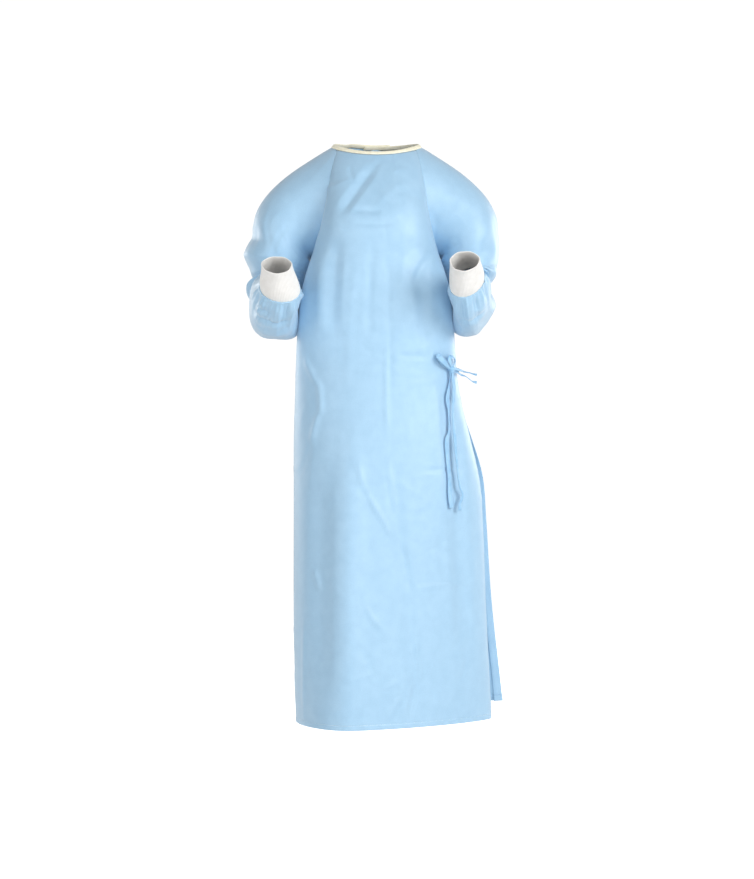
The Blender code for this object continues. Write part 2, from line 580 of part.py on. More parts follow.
def sleeve_grid(side, front, back):
    """Rows of rings: the cap from the sewn edge to the upper arm, then the bent arm down to the cuff."""
    angles = mouth_angles()
    mouth, onward = sleeve_mouth(side, front, back)
    arm = ARMS[side.name]
    first = arm_ring(arm[0], side, angles)
    reach = np.linalg.norm(first - mouth, axis=1, keepdims=True)
    heading = (first - mouth) / reach + mirrored(SLEEVE_LIFT, side.sign) + onward * SEAM_FLOW
    heading = heading / np.linalg.norm(heading, axis=1, keepdims=True)
    leave = heading * reach * CAP_FULLNESS
    arrive = np.array((0.0, 0.0, -1.0)) * reach * CAP_DROP
    start = mouth + heading * SEAM_GAP
    rows = [hermite(start, first, leave, arrive, t) for t in np.linspace(0.0, 1.0, CAP_ROWS + 1)[:-1]]
    for place in np.linspace(0.0, 1.0, ARM_ROWS + 1):
        station = rows_through(arm, place)
        centre = arm_ring(station, side, angles).mean(axis=0)
        ring = arm_ring(station, side, angles)
        outward = ring - centre
        outward = outward / np.linalg.norm(outward, axis=1, keepdims=True)
        rows.append(ring + outward * crumple_heights(side, place, angles)[:, None])
    return np.array(rows)


def crumple_heights(side, place, angles):
    height = np.zeros(len(angles))
    for fold in CRUMPLES:
        if fold.side == side.name:
            away = (angles - fold.around + 180.0) % 360.0 - 180.0
            along = bump((place - fold.place) / fold.half_place)
            height += fold.height * along * bump(away / fold.half_around)
    gather = smooth((place - GATHER_START) / (GATHER_PEAK - GATHER_START))
    gather = gather * smooth((1.0 - place) / (1.0 - GATHER_PEAK))
    return height + GATHER_DEPTH * gather * np.cos(np.radians(GATHERS * angles))


def cuff_grid(side):
    """The knitted tube that goes on from the sleeve's end, a small gap past it."""
    angles = mouth_angles()
    base, wrist = ARMS[side.name][-1], WRISTS[side.name]
    ahead = math.radians(0.5 * (base.pitch + wrist.pitch))
    rows = []
    for t in np.linspace(0.0, 1.0, CUFF_ROWS + 1):
        travel = WRIST_GAP + CUFF_LENGTH * t
        taper = smooth(t)
        station = Station(
            base.x + wrist.out * t,
            base.y - travel * math.sin(ahead),
            base.z - travel * math.cos(ahead),
            base.half_width - CUFF_BASE_INSET + (wrist.half_width - base.half_width) * taper,
            base.half_depth - CUFF_BASE_INSET + (wrist.half_depth - base.half_depth) * taper,
            base.lean + (wrist.lean - base.lean) * t,
            base.pitch + (wrist.pitch - base.pitch) * t,
            base.bow,
        )
        rows.append(arm_ring(station, side, angles))
    return np.array(rows)


# The neck binding


def binding_grid(edge):
    """A band that goes on above the pieces' own neck edges, lapped over itself at the centre back."""
    inward = np.array((0.0, NECK_CENTRE_Y, 0.0)) - edge
    inward[:, 2] = 0.0
    inward = inward / np.linalg.norm(inward, axis=1, keepdims=True)
    slope = inward * BINDING_IN + np.array((0.0, 0.0, BINDING_UP))
    return np.array([edge + slope * (SEAM_GAP + BINDING_HEIGHT * t) for t in (0.0, 0.5, 1.0)])


def neck_edge(front, outer, inner, sleeves):
    """The neck's edge from the outer back panel's free edge round by the right, front and left."""
    around = {}
    for name, sleeve in sleeves.items():
        half = NECK_COLUMNS
        around[name] = (sleeve[0][1:half], sleeve[0][0], sleeve[0][1 - half :])
    right_front, right_top, right_back = around["right"]
    left_front, left_top, left_back = around["left"]
    pieces = (
        outer[-1],
        right_back,
        [right_top],
        right_front,
        front[-1],
        left_front[::-1],
        [left_top],
        left_back[::-1],
        inner[-1],
    )
    return np.concatenate([np.asarray(piece).reshape(-1, 3) for piece in pieces])


# The belt


def line_at(grid, z):
    """A panel's line at a height, read from its grid."""
    heights = grid[..., 2].mean(axis=1)
    return np.array([[np.interp(z, heights, grid[:, c, k]) for k in range(3)] for c in range(grid.shape[1])])


def on_front(front, x, z, out):
    """The point seen at x and z from the front that lies a distance off the front panel, and the way it faces."""
    line = line_at(front, z)
    line = line[: int(np.argmax(line[:, 0])) + 1]
    slopes = np.gradient(line[:, 1]) / np.gradient(line[:, 0])
    slope = float(np.clip(np.interp(x, line[:, 0], slopes), -0.5, 1.6))
    normal = unit(np.array((slope, -1.0, 0.0)))
    beside = min(x - out * normal[0], line[-1, 0])
    y = float(np.interp(beside, line[:, 0], line[:, 1]))
    return np.array((x, y + out * normal[1], z)), normal


def knot_centre(front):
    return on_front(front, KNOT.x, KNOT.z, KNOT.out)[0]


def at_knot(centre, towards):
    """The point of the knot's face, a seam's gap clear of it, on the way to another point."""
    heading = unit(towards - centre)
    radius = 1.0 / np.linalg.norm(heading / KNOT_HALF_SIZES)
    return centre + heading * (radius + SEAM_GAP)


def banded(middles, normals, widths, turns):
    """Rows across a flat strip of folded cloth, three points each."""
    headings = np.gradient(middles, axis=0)
    rows = []
    for middle, normal, heading, width, turn in zip(middles, normals, headings, widths, np.radians(turns)):
        flat = unit(np.cross(heading, normal))
        off = unit(normal - np.dot(normal, unit(heading)) * unit(heading))
        across = flat * math.cos(turn) + off * math.sin(turn)
        rows.append([middle + across * width * share for share in (-0.5, 0.0, 0.5)])
    return np.array(rows)


def strip_grid(front, stations, is_loop):
    """A strip that starts at the knot and hangs on the front panel. A loop ends at the knot too."""
    steps = STRIP_STEPS * (len(stations) - 1)
    places = [rows_through(stations, k / steps) for k in range(steps + 1)]
    middles, normals = (np.array(column) for column in zip(*[on_front(front, p.x, p.z, p.out) for p in places]))
    centre = knot_centre(front)
    middles[0] = at_knot(centre, middles[1])
    if is_loop:
        middles[-1] = at_knot(centre, middles[-2])
    return banded(middles, normals, [p.width for p in places], [p.turn for p in places])


def belt_grid(front, outer, inner):
    """The belt from the outer back panel, on which it is sewn, round the left side to the knot."""
    lap = line_at(outer, BELT_Z)
    side = line_at(inner, BELT_Z)
    chest = line_at(front, BELT_Z)
    on_panel = evenly(lap[:3], np.linspace(0.0, 1.0, 9))
    length = np.linalg.norm(on_panel - on_panel[0], axis=1)
    on_panel = on_panel[(length > 0.004) & (length < BELT_LAP)][::-1]
    past_edge = lap[:1] + unit(lap[0] - lap[1]) * BELT_OVERHANG
    on_panel = np.concatenate([on_panel, past_edge])
    on_side = side[side[:, 1] < lap[0, 1] - BELT_SPAN][::-1]
    on_chest = chest[chest[:, 0] > KNOT.x + 0.004][::-1]
    path = np.concatenate([on_panel, on_side, on_chest])
    tangent = np.gradient(path, axis=0)
    outward = np.stack([-tangent[:, 1], tangent[:, 0], 0.0 * tangent[:, 0]], axis=-1)
    outward = outward / np.linalg.norm(outward, axis=1, keepdims=True)
    lift = np.where(np.arange(len(path)) < len(on_panel), BELT_ON_PANEL, BELT_OUT)
    shares = np.linspace(0.0, 1.0, BELT_STEPS + 1)
    middles = evenly(path + outward * lift[:, None], shares)
    middles[-1] = at_knot(knot_centre(front), middles[-2])
    headings = np.gradient(middles, axis=0)
    normals = np.stack([-headings[:, 1], headings[:, 0], 0.0 * headings[:, 0]], axis=-1)
    normals = normals / np.linalg.norm(normals, axis=1, keepdims=True)
    widths = BELT_WIDTHS[0] + (BELT_WIDTHS[1] - BELT_WIDTHS[0]) * shares
    return banded(middles, normals, widths, np.zeros(BELT_STEPS + 1))


# Objects


def material(name, colour, roughness):
    made = bpy.data.materials.new(name)
    made.use_nodes = True
    shader = made.node_tree.nodes["Principled BSDF"]
    shader.inputs["Base Color"].default_value = colour
    shader.inputs["Roughness"].default_value = roughness
    shader.inputs["Metallic"].default_value = 0.0
    return made


def cloth_object(name, grid, thickness, finish, collection, is_tube=False, offset=-1.0):
    """A sheet from a grid of points, thickened by Solidify. A tube's last column joins its first."""
    row_count, column_count = grid.shape[:2]
    faces = []
    for r in range(row_count - 1):
        for c in range(column_count if is_tube else column_count - 1):
            right = (c + 1) % column_count
            low, high = r * column_count, (r + 1) * column_count
            faces.append((low + c, low + right, high + right, high + c))
    mesh = bpy.data.meshes.new(name)
    mesh.from_pydata(grid.reshape(-1, 3).tolist(), [], faces)
    mesh.materials.append(finish)
    mesh.shade_smooth()
    made = bpy.data.objects.new(name, mesh)
    collection.objects.link(made)
    shell = made.modifiers.new("Cloth", "SOLIDIFY")
    shell.thickness = thickness
    shell.offset = offset
    return made


def knot_object(front, finish, collection):
    bpy.ops.mesh.primitive_uv_sphere_add(segments=12, ring_count=8, radius=1.0)
    knot = bpy.context.object
    knot.name = "tie_knot"
    knot.location = knot_centre(front)
    knot.scale = KNOT_HALF_SIZES
    knot.data.materials.append(finish)
    knot.data.shade_smooth()
    for owner in list(knot.users_collection):
        owner.objects.unlink(knot)
    collection.objects.link(knot)
    return knot


def main():
    for old in list(bpy.data.objects):
        bpy.data.objects.remove(old)
    collection = bpy.data.collections.new("surgical_gown")
    bpy.context.scene.collection.children.link(collection)

    cloth = material("gown_cloth", GOWN_BLUE, 0.62)
    belt = material("belt_cloth", BELT_BLUE, 0.62)
    knit = material("cuff_knit", KNIT_WHITE, 0.85)
    cream = material("neck_binding", BINDING_CREAM, 0.75)

    front, outer, inner = front_grid(), back_grid(True), back_grid(False)
    cloth_object("front", front, CLOTH, cloth, collection)
    cloth_object("back_right", outer, CLOTH, cloth, collection)
    cloth_object("back_left", inner, CLOTH, cloth, collection)
    backs = {"left": inner, "right": outer}
    sleeves = {side.name: sleeve_grid(side, front, backs[side.name]) for side in SIDES}
    for side in SIDES:
        turn = 1 if side.sign > 0 else -1
        cloth_object("sleeve_" + side.name, sleeves[side.name][:, ::turn], CLOTH, cloth, collection, is_tube=True)
        cloth_object("cuff_" + side.name, cuff_grid(side)[:, ::turn], KNIT, knit, collection, is_tube=True)
    edge = neck_edge(front, outer, inner, sleeves)
    cloth_object("neck_binding", binding_grid(edge), BINDING_THICKNESS, cream, collection)

    knot_object(front, belt, collection)
    for name, stations in TIES.items():
        grid = strip_grid(front, stations, name in LOOPS)
        cloth_object(name, grid, BELT_THICKNESS, belt, collection, offset=0.0)
    cloth_object("belt_outer", belt_grid(front, outer, inner), BELT_THICKNESS, belt, collection, offset=0.0)


main()
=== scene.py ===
"""The looks of a disposable surgical gown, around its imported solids.

The gown faces -Y, its own left is +X and Z is up. Its panels are drawn again from the same sections, seams
and folds as the solids, as fine cloth with creases, hems, gathers, ribs and stitches. Sizes are in metres
and angles in degrees.
"""

import math
from collections import namedtuple

import bpy
import numpy as np
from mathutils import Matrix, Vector


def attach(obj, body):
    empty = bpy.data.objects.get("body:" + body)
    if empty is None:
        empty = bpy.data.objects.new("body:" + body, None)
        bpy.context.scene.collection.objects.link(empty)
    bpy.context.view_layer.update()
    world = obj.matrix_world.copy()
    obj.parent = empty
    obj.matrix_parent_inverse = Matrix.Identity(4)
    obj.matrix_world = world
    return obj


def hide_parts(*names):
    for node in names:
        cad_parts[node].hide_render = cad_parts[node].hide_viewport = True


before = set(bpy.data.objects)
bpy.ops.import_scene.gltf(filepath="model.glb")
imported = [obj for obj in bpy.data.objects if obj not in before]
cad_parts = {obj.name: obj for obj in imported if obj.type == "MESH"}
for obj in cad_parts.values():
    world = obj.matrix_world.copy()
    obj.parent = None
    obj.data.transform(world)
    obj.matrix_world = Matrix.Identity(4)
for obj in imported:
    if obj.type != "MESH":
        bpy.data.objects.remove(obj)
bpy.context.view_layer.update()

MM = 0.001

# Thicknesses
CLOTH = 0.0005  # spunbond nonwoven, three bonded layers
KNIT = 0.0022  # the doubled cuff
KNIT_LAYER = 0.0009  # one layer of it
TAPE_CLOTH = 0.0005  # one layer of the neck's tape
BELT_THICKNESS = 0.0012  # the ties, folded and stitched
KNOT_CLOTH = 0.001

# Seams and turned edges
SEAM_PULL = 0.0010  # a sewn seam draws the cloth in by this much
SEAM_PULL_REACH = 0.014  # and the dip dies out over this width
PUCKER = 0.0003  # how much the dip ripples along the seam
PUCKER_PITCHES = (0.0083, 0.0112, 0.0171, 0.0290)
ALLOWANCE = 0.007  # the sewn edges turned inside
ALLOWANCE_SHARES = (1.0, 0.5, 0.06)  # its rows, from its raw edge
HEM = 0.011  # a turned and stitched edge
HEM_RIDGE, HEM_STEP = 0.0006, 0.003  # how far its band stands out, and the width of the step up to it
TURN_GAP = 0.0012  # between the cloth and its turned edge
OVER_HEM_TOP, OVER_HEM_FADE = 1.8 * HEM, 0.5 * HEM  # up to here a turned side edge lies over the hem
SHARP = 0.25  # an extra row next to an edge keeps its shading narrow, at this share of the first step

# Stitches
STITCH_PLACE = 0.86  # their distance from the edge, as a share of the hem
STITCH_PITCH, STITCH_LENGTH, STITCH_WIDTH = 0.0042, 0.0031, 0.0007
STITCH_SECTIONS = ((-0.5, 0.45), (0.0, 1.0), (0.5, 0.45))  # shares of its length and of its width
STITCH_RING = ((-1.0, 0.0), (0.0, 1.0), (1.0, 0.0), (0.0, -1.0))  # aside and outwards
STITCH_AIM = 0.2  # a stitch follows its line over this share of the pitch to each side
GROOVE, GROOVE_HALF_WIDTH = 0.0005, 0.0016  # the dip that they pull into the cloth

# Heights of the body
HEM_Z = -1.180
ARMPIT_Z = -0.228
OUTER_CORNER_LIFT = 0.018  # the outer back panel's free corner is pulled up by its belt
LIFT_TOP = -0.9  # below this height
LIFT_START, LIFT_WIDTH = 0.5, 0.45  # and from here on across the back

# Neck: an oval that dips at the front
NECK_HALF_WIDTH = 0.092
NECK_HALF_DEPTH = 0.072
NECK_CENTRE_Y = -0.006
NECK_Z_MEAN, NECK_Z_DIP, NECK_Z_SADDLE = -0.005, -0.015, -0.005
NECK_FRONT_SEAM = 62.0  # where the raglan seams start, as angles from the centre front
NECK_BACK_SEAM = 125.0
NECK_ARRIVAL = np.array((1.2, 1.2, 1.0))  # how strongly the cloth heads for the neck

# The neck's tape, folded over the cloth's edge. Its points: how far up from the edge, and how far out of its
# slope
BINDING_IN, BINDING_UP = 0.62, 0.78  # the slope
Tape = namedtuple("Tape", "up out")
TAPE = (
    Tape(-0.0014, 0.0009),
    Tape(-0.0008, 0.0015),
    Tape(0.0010, 0.0016),
    Tape(0.0034, 0.0017),
    Tape(0.0060, 0.0014),
    Tape(0.0078, 0.0008),
    Tape(0.0085, 0.0000),
    Tape(0.0078, -0.0009),
    Tape(0.0056, -0.0014),
    Tape(0.0020, -0.0014),
    Tape(-0.0014, -0.0012),
)
TAPE_STITCH = 2  # the row of the tape's stitches
TAPE_RIPPLES = (0.00025, -0.000125)  # outside and inside

# Seams: how far behind the widest point of a section the side seams lie, as an angle round it
SIDE_SEAM = 14.0
UNDERARM_Y, UNDERARM_HALF_WIDTH = 0.018, 0.078  # the tuck between body and arm
BACK_BOW = 2.2  # how square the back of a section is: 2 is an oval

# Mesh density
SECTION_POINTS, NECK_POINTS = 241, 61  # of the lines that the panels are drawn from
UPPER_ROWS = 60  # from armpit to neck, and so the columns along one raglan seam
HEM_ROWS, HEM_ROWS_TOP = 12, 1.3 * HEM  # close together, for the hem's stitched edge
LOWER_ROWS = 206  # from hem to armpit, those of the hem included
EDGE_COLUMNS = 10  # close together at each side of a panel
EDGE_SHARE = 0.036  # of the panel's width
FRONT_COLUMNS = 132
BACK_COLUMNS = 108
NECK_COLUMNS = 8  # of the sleeve, on each side of the shoulder line
CAP_ROWS = 44
ARM_ROWS = 140
CUFF_RIBS, RIB_POINTS = 76, 6
CUFF_ROWS, CUFF_FOLD_ROWS = 30, 6
TAPE_COLUMNS = 420
KNOT_ROWS, KNOT_COLUMNS = 40, 64
TIE_POINTS = 9  # across a tie
STRIP_STEPS = 14  # rows between two stations of a strip
BELT_PATH_POINTS, BELT_STEPS = 40, 90

# A horizontal section of the body: the widest points right and left, the front ridge, the back, and how
# square each front quarter is. The tuck is how far the arm presses the side in behind the front fold.
Section = namedtuple(
    "Section", "z right_x right_y ridge_x front_y left_x left_y back_x back_y right_bow left_bow tuck"
)
SECTIONS = (
    Section(-0.228, -0.132, -0.050, 0.000, -0.150, 0.128, -0.050, 0.000, 0.108, 2.30, 2.30, 0.003),
    Section(-0.275, -0.146, -0.073, 0.000, -0.153, 0.143, -0.073, 0.000, 0.108, 2.30, 2.30, 0.010),
    Section(-0.316, -0.154, -0.085, 0.000, -0.153, 0.152, -0.085, 0.000, 0.104, 2.20, 2.20, 0.015),
    Section(-0.409, -0.163, -0.062, -0.005, -0.150, 0.160, -0.062, 0.000, 0.100, 2.10, 2.10, 0.012),
    Section(-0.461, -0.166, -0.042, -0.010, -0.149, 0.164, -0.045, 0.000, 0.102, 2.00, 2.00, 0.006),
    Section(-0.523, -0.168, -0.036, -0.015, -0.151, 0.174, -0.035, 0.000, 0.110, 2.00, 1.90, 0.002),
    Section(-0.606, -0.170, -0.036, -0.025, -0.156, 0.194, -0.030, 0.005, 0.122, 1.90, 1.80, 0.000),
    Section(-0.688, -0.170, -0.038, -0.035, -0.162, 0.213, -0.026, 0.010, 0.132, 1.90, 1.65, 0.000),
    Section(-0.771, -0.170, -0.040, -0.042, -0.168, 0.219, -0.022, 0.015, 0.140, 1.85, 1.55, 0.000),
    Section(-0.936, -0.170, -0.045, -0.050, -0.180, 0.2255, -0.018, 0.020, 0.150, 1.80, 1.45, 0.000),
    Section(-1.102, -0.168, -0.048, -0.055, -0.190, 0.234, -0.016, 0.025, 0.158, 1.75, 1.38, 0.000),
    Section(-1.180, -0.165, -0.050, -0.057, -0.194, 0.238, -0.016, 0.028, 0.160, 1.75, 1.35, 0.000),
)

# A fold of a panel, as seen from the front or the back: its two ends, how far its middle bends aside, its
# half width, how far it stands out of the cloth, and how crisp it is: 0 is a soft wave and 1 a pressed
# crease. A trough has a negative depth.
Fold = namedtuple("Fold", "x1 z1 x2 z2 bend half_width depth crisp")
FRONT_FOLDS = (
    # chest
    Fold(-0.002, -0.046, -0.078, -0.160, 0.000, 0.019, -0.0065, 0.35),
    Fold(-0.058, -0.050, -0.043, -0.092, 0.000, 0.009, -0.0022, 0.6),
    Fold(-0.052, -0.145, 0.012, -0.150, 0.000, 0.012, -0.0026, 0.4),
    Fold(-0.050, -0.173, 0.048, -0.171, 0.003, 0.010, -0.0016, 0.4),
    Fold(-0.076, -0.185, -0.084, -0.420, 0.005, 0.022, -0.0050, 0.2),
    Fold(-0.112, -0.225, -0.116, -0.400, 0.000, 0.018, 0.0034, 0.3),
    Fold(-0.006, -0.200, -0.014, -0.420, 0.003, 0.013, -0.0020, 0.4),
    Fold(0.020, -0.200, 0.024, -0.580, -0.004, 0.012, -0.0018, 0.5),
    Fold(-0.040, -0.240, -0.058, -0.520, 0.004, 0.016, 0.0016, 0.4),
    Fold(0.062, -0.180, 0.050, -0.330, 0.003, 0.016, 0.0018, 0.4),
    Fold(0.085, -0.240, 0.100, -0.430, 0.000, 0.022, -0.0038, 0.2),
    Fold(0.118, -0.225, 0.072, -0.300, 0.004, 0.014, -0.0030, 0.5),
    # the wavy fold below the right forearm
    Fold(-0.146, -0.434, -0.112, -0.503, 0.003, 0.011, 0.0036, 0.6),
    Fold(-0.117, -0.482, -0.111, -0.565, -0.002, 0.011, 0.0040, 0.6),
    Fold(-0.111, -0.542, -0.132, -0.622, 0.003, 0.011, 0.0036, 0.6),
    # the skirt's broad folds
    Fold(-0.112, -0.630, -0.116, -1.160, 0.000, 0.034, -0.0062, 0.1),
    Fold(-0.046, -0.540, -0.052, -1.170, 0.006, 0.042, 0.0064, 0.15),
    Fold(0.024, -0.600, 0.084, -1.140, 0.000, 0.022, -0.0036, 0.2),
    Fold(0.150, -0.470, 0.182, -1.100, 0.000, 0.026, -0.0050, 0.1),
    Fold(0.118, -0.470, 0.136, -0.760, 0.000, 0.018, 0.0035, 0.3),
    Fold(-0.146, -0.950, -0.147, -1.186, 0.000, 0.008, 0.0024, 0.9),
    # pressed creases from its packing: down the middle, slantwise and across
    Fold(0.022, -0.385, 0.022, -0.615, 0.002, 0.009, 0.0030, 0.9),
    Fold(0.023, -0.640, 0.044, -0.765, 0.002, 0.009, 0.0034, 0.9),
    Fold(0.050, -0.795, 0.074, -0.920, 0.002, 0.009, -0.0034, 0.9),
    Fold(0.074, -0.970, 0.086, -1.110, -0.002, 0.009, 0.0036, 0.9),
    Fold(0.087, -1.080, 0.066, -1.168, 0.004, 0.009, -0.0034, 0.9),
    Fold(-0.038, -0.650, -0.026, -0.700, 0.000, 0.009, 0.0034, 0.9),
    Fold(-0.031, -0.684, 0.050, -0.824, 0.004, 0.009, 0.0040, 0.9),
    Fold(-0.026, -0.928, 0.016, -0.990, 0.003, 0.009, 0.0036, 0.9),
    Fold(0.036, -0.437, 0.114, -0.438, 0.001, 0.008, -0.0026, 0.9),
    Fold(0.086, -0.666, 0.180, -0.664, 0.001, 0.008, -0.0028, 0.9),
    Fold(0.066, -0.904, 0.200, -0.900, -0.002, 0.008, 0.0028, 0.9),
    Fold(0.050, -1.116, 0.018, -1.168, 0.002, 0.009, 0.0034, 0.9),
    Fold(-0.128, -0.862, -0.112, -0.912, 0.002, 0.009, 0.0034, 0.9),
)
BACK_FOLDS = (
    Fold(-0.070, -0.110, -0.088, -0.420, 0.000, 0.026, -0.0080, 0.2),
    Fold(0.066, -0.130, 0.080, -0.400, 0.000, 0.024, -0.0070, 0.2),
    Fold(-0.010, -0.240, 0.030, -0.450, 0.000, 0.024, -0.0070, 0.2),
    Fold(-0.110, -0.500, -0.128, -1.150, 0.000, 0.034, -0.0110, 0.1),
    Fold(-0.030, -0.480, -0.055, -1.120, 0.000, 0.036, -0.0120, 0.1),
    Fold(0.060, -0.470, 0.050, -1.140, 0.000, 0.034, -0.0110, 0.1),
    Fold(0.130, -0.470, 0.142, -1.100, 0.000, 0.030, -0.0090, 0.1),
    # pressed creases from its packing
    Fold(-0.024, -0.330, -0.020, -0.560, 0.002, 0.007, 0.0015, 0.9),
    Fold(-0.020, -0.590, -0.004, -0.780, 0.002, 0.007, -0.0015, 0.9),
    Fold(-0.002, -0.820, 0.010, -1.060, -0.003, 0.007, 0.0015, 0.9),
    Fold(-0.150, -0.440, -0.040, -0.438, 0.001, 0.006, -0.0014, 0.9),
    Fold(-0.120, -0.666, 0.060, -0.664, 0.001, 0.006, 0.0014, 0.9),
    Fold(-0.060, -0.904, 0.150, -0.900, -0.002, 0.006, -0.0014, 0.9),
    Fold(0.030, -0.700, 0.096, -0.850, 0.004, 0.008, 0.0018, 0.8),
    Fold(-0.090, -0.900, -0.050, -1.030, 0.004, 0.008, 0.0018, 0.8),
)
FOLD_FADE = 0.55  # a fold fades over this share of its half length, at each end

# Small creases, drawn at random: how far they swing off the grain, and the ranges of their sizes
CREASE_SWING = 26.0
CREASE_LENGTHS, CREASE_HALF_WIDTHS = (0.03, 0.13), (0.006, 0.016)
CREASE_DEPTHS = (0.0002, 0.0011)
CREASE_BEND = 0.004
CREASED_AREA = ((-0.20, -1.18), (0.24, -0.02))  # of the body's panels
FRONT_CREASES, BACK_CREASES, SLEEVE_CREASES = 190, 170, 150
UPRIGHT, SLEEVE_UPRIGHT = 0.5, 0.4  # the share of them that run up the cloth

# Seeds for the small creases and pleats, and for the ripples of the seams
CREASE_SEEDS = {"front": 11, "outer": 21, "inner": 22, "left": 31, "right": 32}
SEAM_SEEDS = {"right_side": 1, "left_side": 2, "outer": 3, "inner": 4, "neck": 5}

# How far across the back each panel reaches, from the right side seam (0) to the left (1), at a height
Edge = namedtuple("Edge", "z outer inner flare")
EDGES = (
    Edge(0.008, 0.664, 0.336, 0.000),
    Edge(-0.120, 0.690, 0.320, 0.000),
    Edge(-0.228, 0.740, 0.300, 0.001),
    Edge(-0.340, 0.860, 0.285, 0.002),
    Edge(-0.461, 0.950, 0.270, 0.003),
    Edge(-0.606, 0.945, 0.260, 0.007),
    Edge(-0.771, 0.940, 0.250, 0.008),
    Edge(-0.936, 0.935, 0.245, 0.016),
    Edge(-1.180, 0.930, 0.240, 0.035),
)
LAYER_GAP = 0.0085  # from the inner back panel's face to the outer panel's face
LAYER_START, LAYER_FULL = 0.03, 0.22  # where the outer panel starts to lift, and where it is clear
FLARE_START = 0.55  # the free edge stands off from here on
TURN_OUT, TURN_OUT_WIDTH = 62.0, 0.050  # the angle at that edge, and the width that bends
TURN_OUT_TOP, TURN_OUT_FULL = -0.52, -0.76  # heights between which it comes in

# The raglan seams of the left side, as the two inner control points of a Bezier curve from armpit to neck
FRONT_SEAM_CONTROLS = ((0.112, -0.095, -0.190), (0.100, -0.112, -0.075))
BACK_SEAM_CONTROLS = ((0.118, 0.080, -0.190), (0.092, 0.105, -0.070))
SEAM_REACH = 3.0  # how quickly a seam's own curve dies out across its panel
CHEST_STEP = 0.012  # the panels' direction at the armpits is measured over this height
CHEST_FULLNESS = 0.200  # and followed for this far above them
CHEST_REACH = 10  # rows to each side over which the panels are softened at the armpits' height
CHEST_FADE = 30.0  # rows from there over which that dies out
CHEST_SEAM_SHARE = 0.12  # of the panel's width, beside each seam, over which it dies out too

# A sleeve's sections, drawn for a left arm: centre, half sizes across and in depth, how far its outer side is
# raised, how far the arm has turned from hanging down (0) to pointing forwards (90), and how square it is
Station = namedtuple("Station", "x y z half_width half_depth lean pitch bow")
ARMS = {
    "left": (
        Station(0.1965, 0.005, -0.2025, 0.0660, 0.0840, 31.0, 0.0, 2.0),
        Station(0.1980, 0.006, -0.2570, 0.0570, 0.0750, 6.0, 5.0, 2.0),
        Station(0.1990, -0.002, -0.2930, 0.0515, 0.0660, 0.0, 32.0, 2.0),
        Station(0.2000, -0.024, -0.3170, 0.0465, 0.0630, 0.0, 62.0, 2.0),
        Station(0.1995, -0.056, -0.3280, 0.0445, 0.0640, 0.0, 86.0, 2.0),
        Station(0.1945, -0.100, -0.3290, 0.0395, 0.0620, 4.0, 95.0, 2.0),
        Station(0.1890, -0.142, -0.3220, 0.0385, 0.0560, 8.0, 104.0, 2.0),
        Station(0.1840, -0.175, -0.3100, 0.0375, 0.0470, 12.0, 115.0, 2.0),
        Station(0.1790, -0.200, -0.2940, 0.0365, 0.0385, 16.0, 124.0, 2.0),
    ),
    "right": (
        Station(0.2015, 0.005, -0.2075, 0.0670, 0.0840, 31.0, 0.0, 2.0),
        Station(0.2020, 0.006, -0.2620, 0.0590, 0.0750, 6.0, 5.0, 2.1),
        Station(0.2050, -0.002, -0.2980, 0.0560, 0.0660, 0.0, 32.0, 2.3),
        Station(0.2085, -0.024, -0.3220, 0.0525, 0.0640, 0.0, 62.0, 2.5),
        Station(0.2095, -0.056, -0.3330, 0.0505, 0.0655, 0.0, 88.0, 2.6),
        Station(0.2085, -0.100, -0.3340, 0.0490, 0.0640, 0.0, 97.0, 2.5),
        Station(0.2035, -0.142, -0.3300, 0.0465, 0.0570, 2.0, 108.0, 2.3),
        Station(0.1965, -0.175, -0.3210, 0.0440, 0.0470, 4.0, 121.0, 2.1),
        Station(0.1895, -0.200, -0.3080, 0.0410, 0.0385, 6.0, 132.0, 2.0),
    ),
}
SHOULDER_RUN = np.array((0.92, 0.0, -0.38))  # the way that the shoulder line leaves the neck
SLEEVE_LIFT = np.array((0.30, 0.0, 0.15))  # how much the cap springs up and out of its seam
SEAM_FLOW = 0.45  # how much it goes on in the body panels' own direction
CAP_FULLNESS, CAP_DROP = 1.18, 0.92
NECK_SHARE = 22.0  # the angle of the arm that the sleeve's short neck edge takes on each side
RING_REACH = 7  # rows to each side over which the sleeve's rings are softened
RING_FADE = 14.0  # rows from each end over which that comes in
# The cap is softened round the arm too, over this many columns to each side. The softening comes in and goes
# out over rows, and keeps to the top of the arm, at angles this far from the armpit.
CORNER_REACH = 9
CORNER_IN, CORNER_OUT = 10.0, 16.0
CORNER_TOP, CORNER_FADE = 100.0, 40.0
SLEEVE_AROUND = 0.0011  # metres round the sleeve for each degree
SLEEVE_ALONG = 0.34  # metres along the arm rows
SLEEVE_CREASES_TOP = -0.16  # metres along from the first of them; the cap's rows lie before it
UNDER_SEAM_PULL, UNDER_SEAM_REACH = 0.6 * SEAM_PULL, 0.008  # the seam under the arm
UNDER_SEAM_START = 0.02  # the places along the arm over which it comes in, next to the armpit

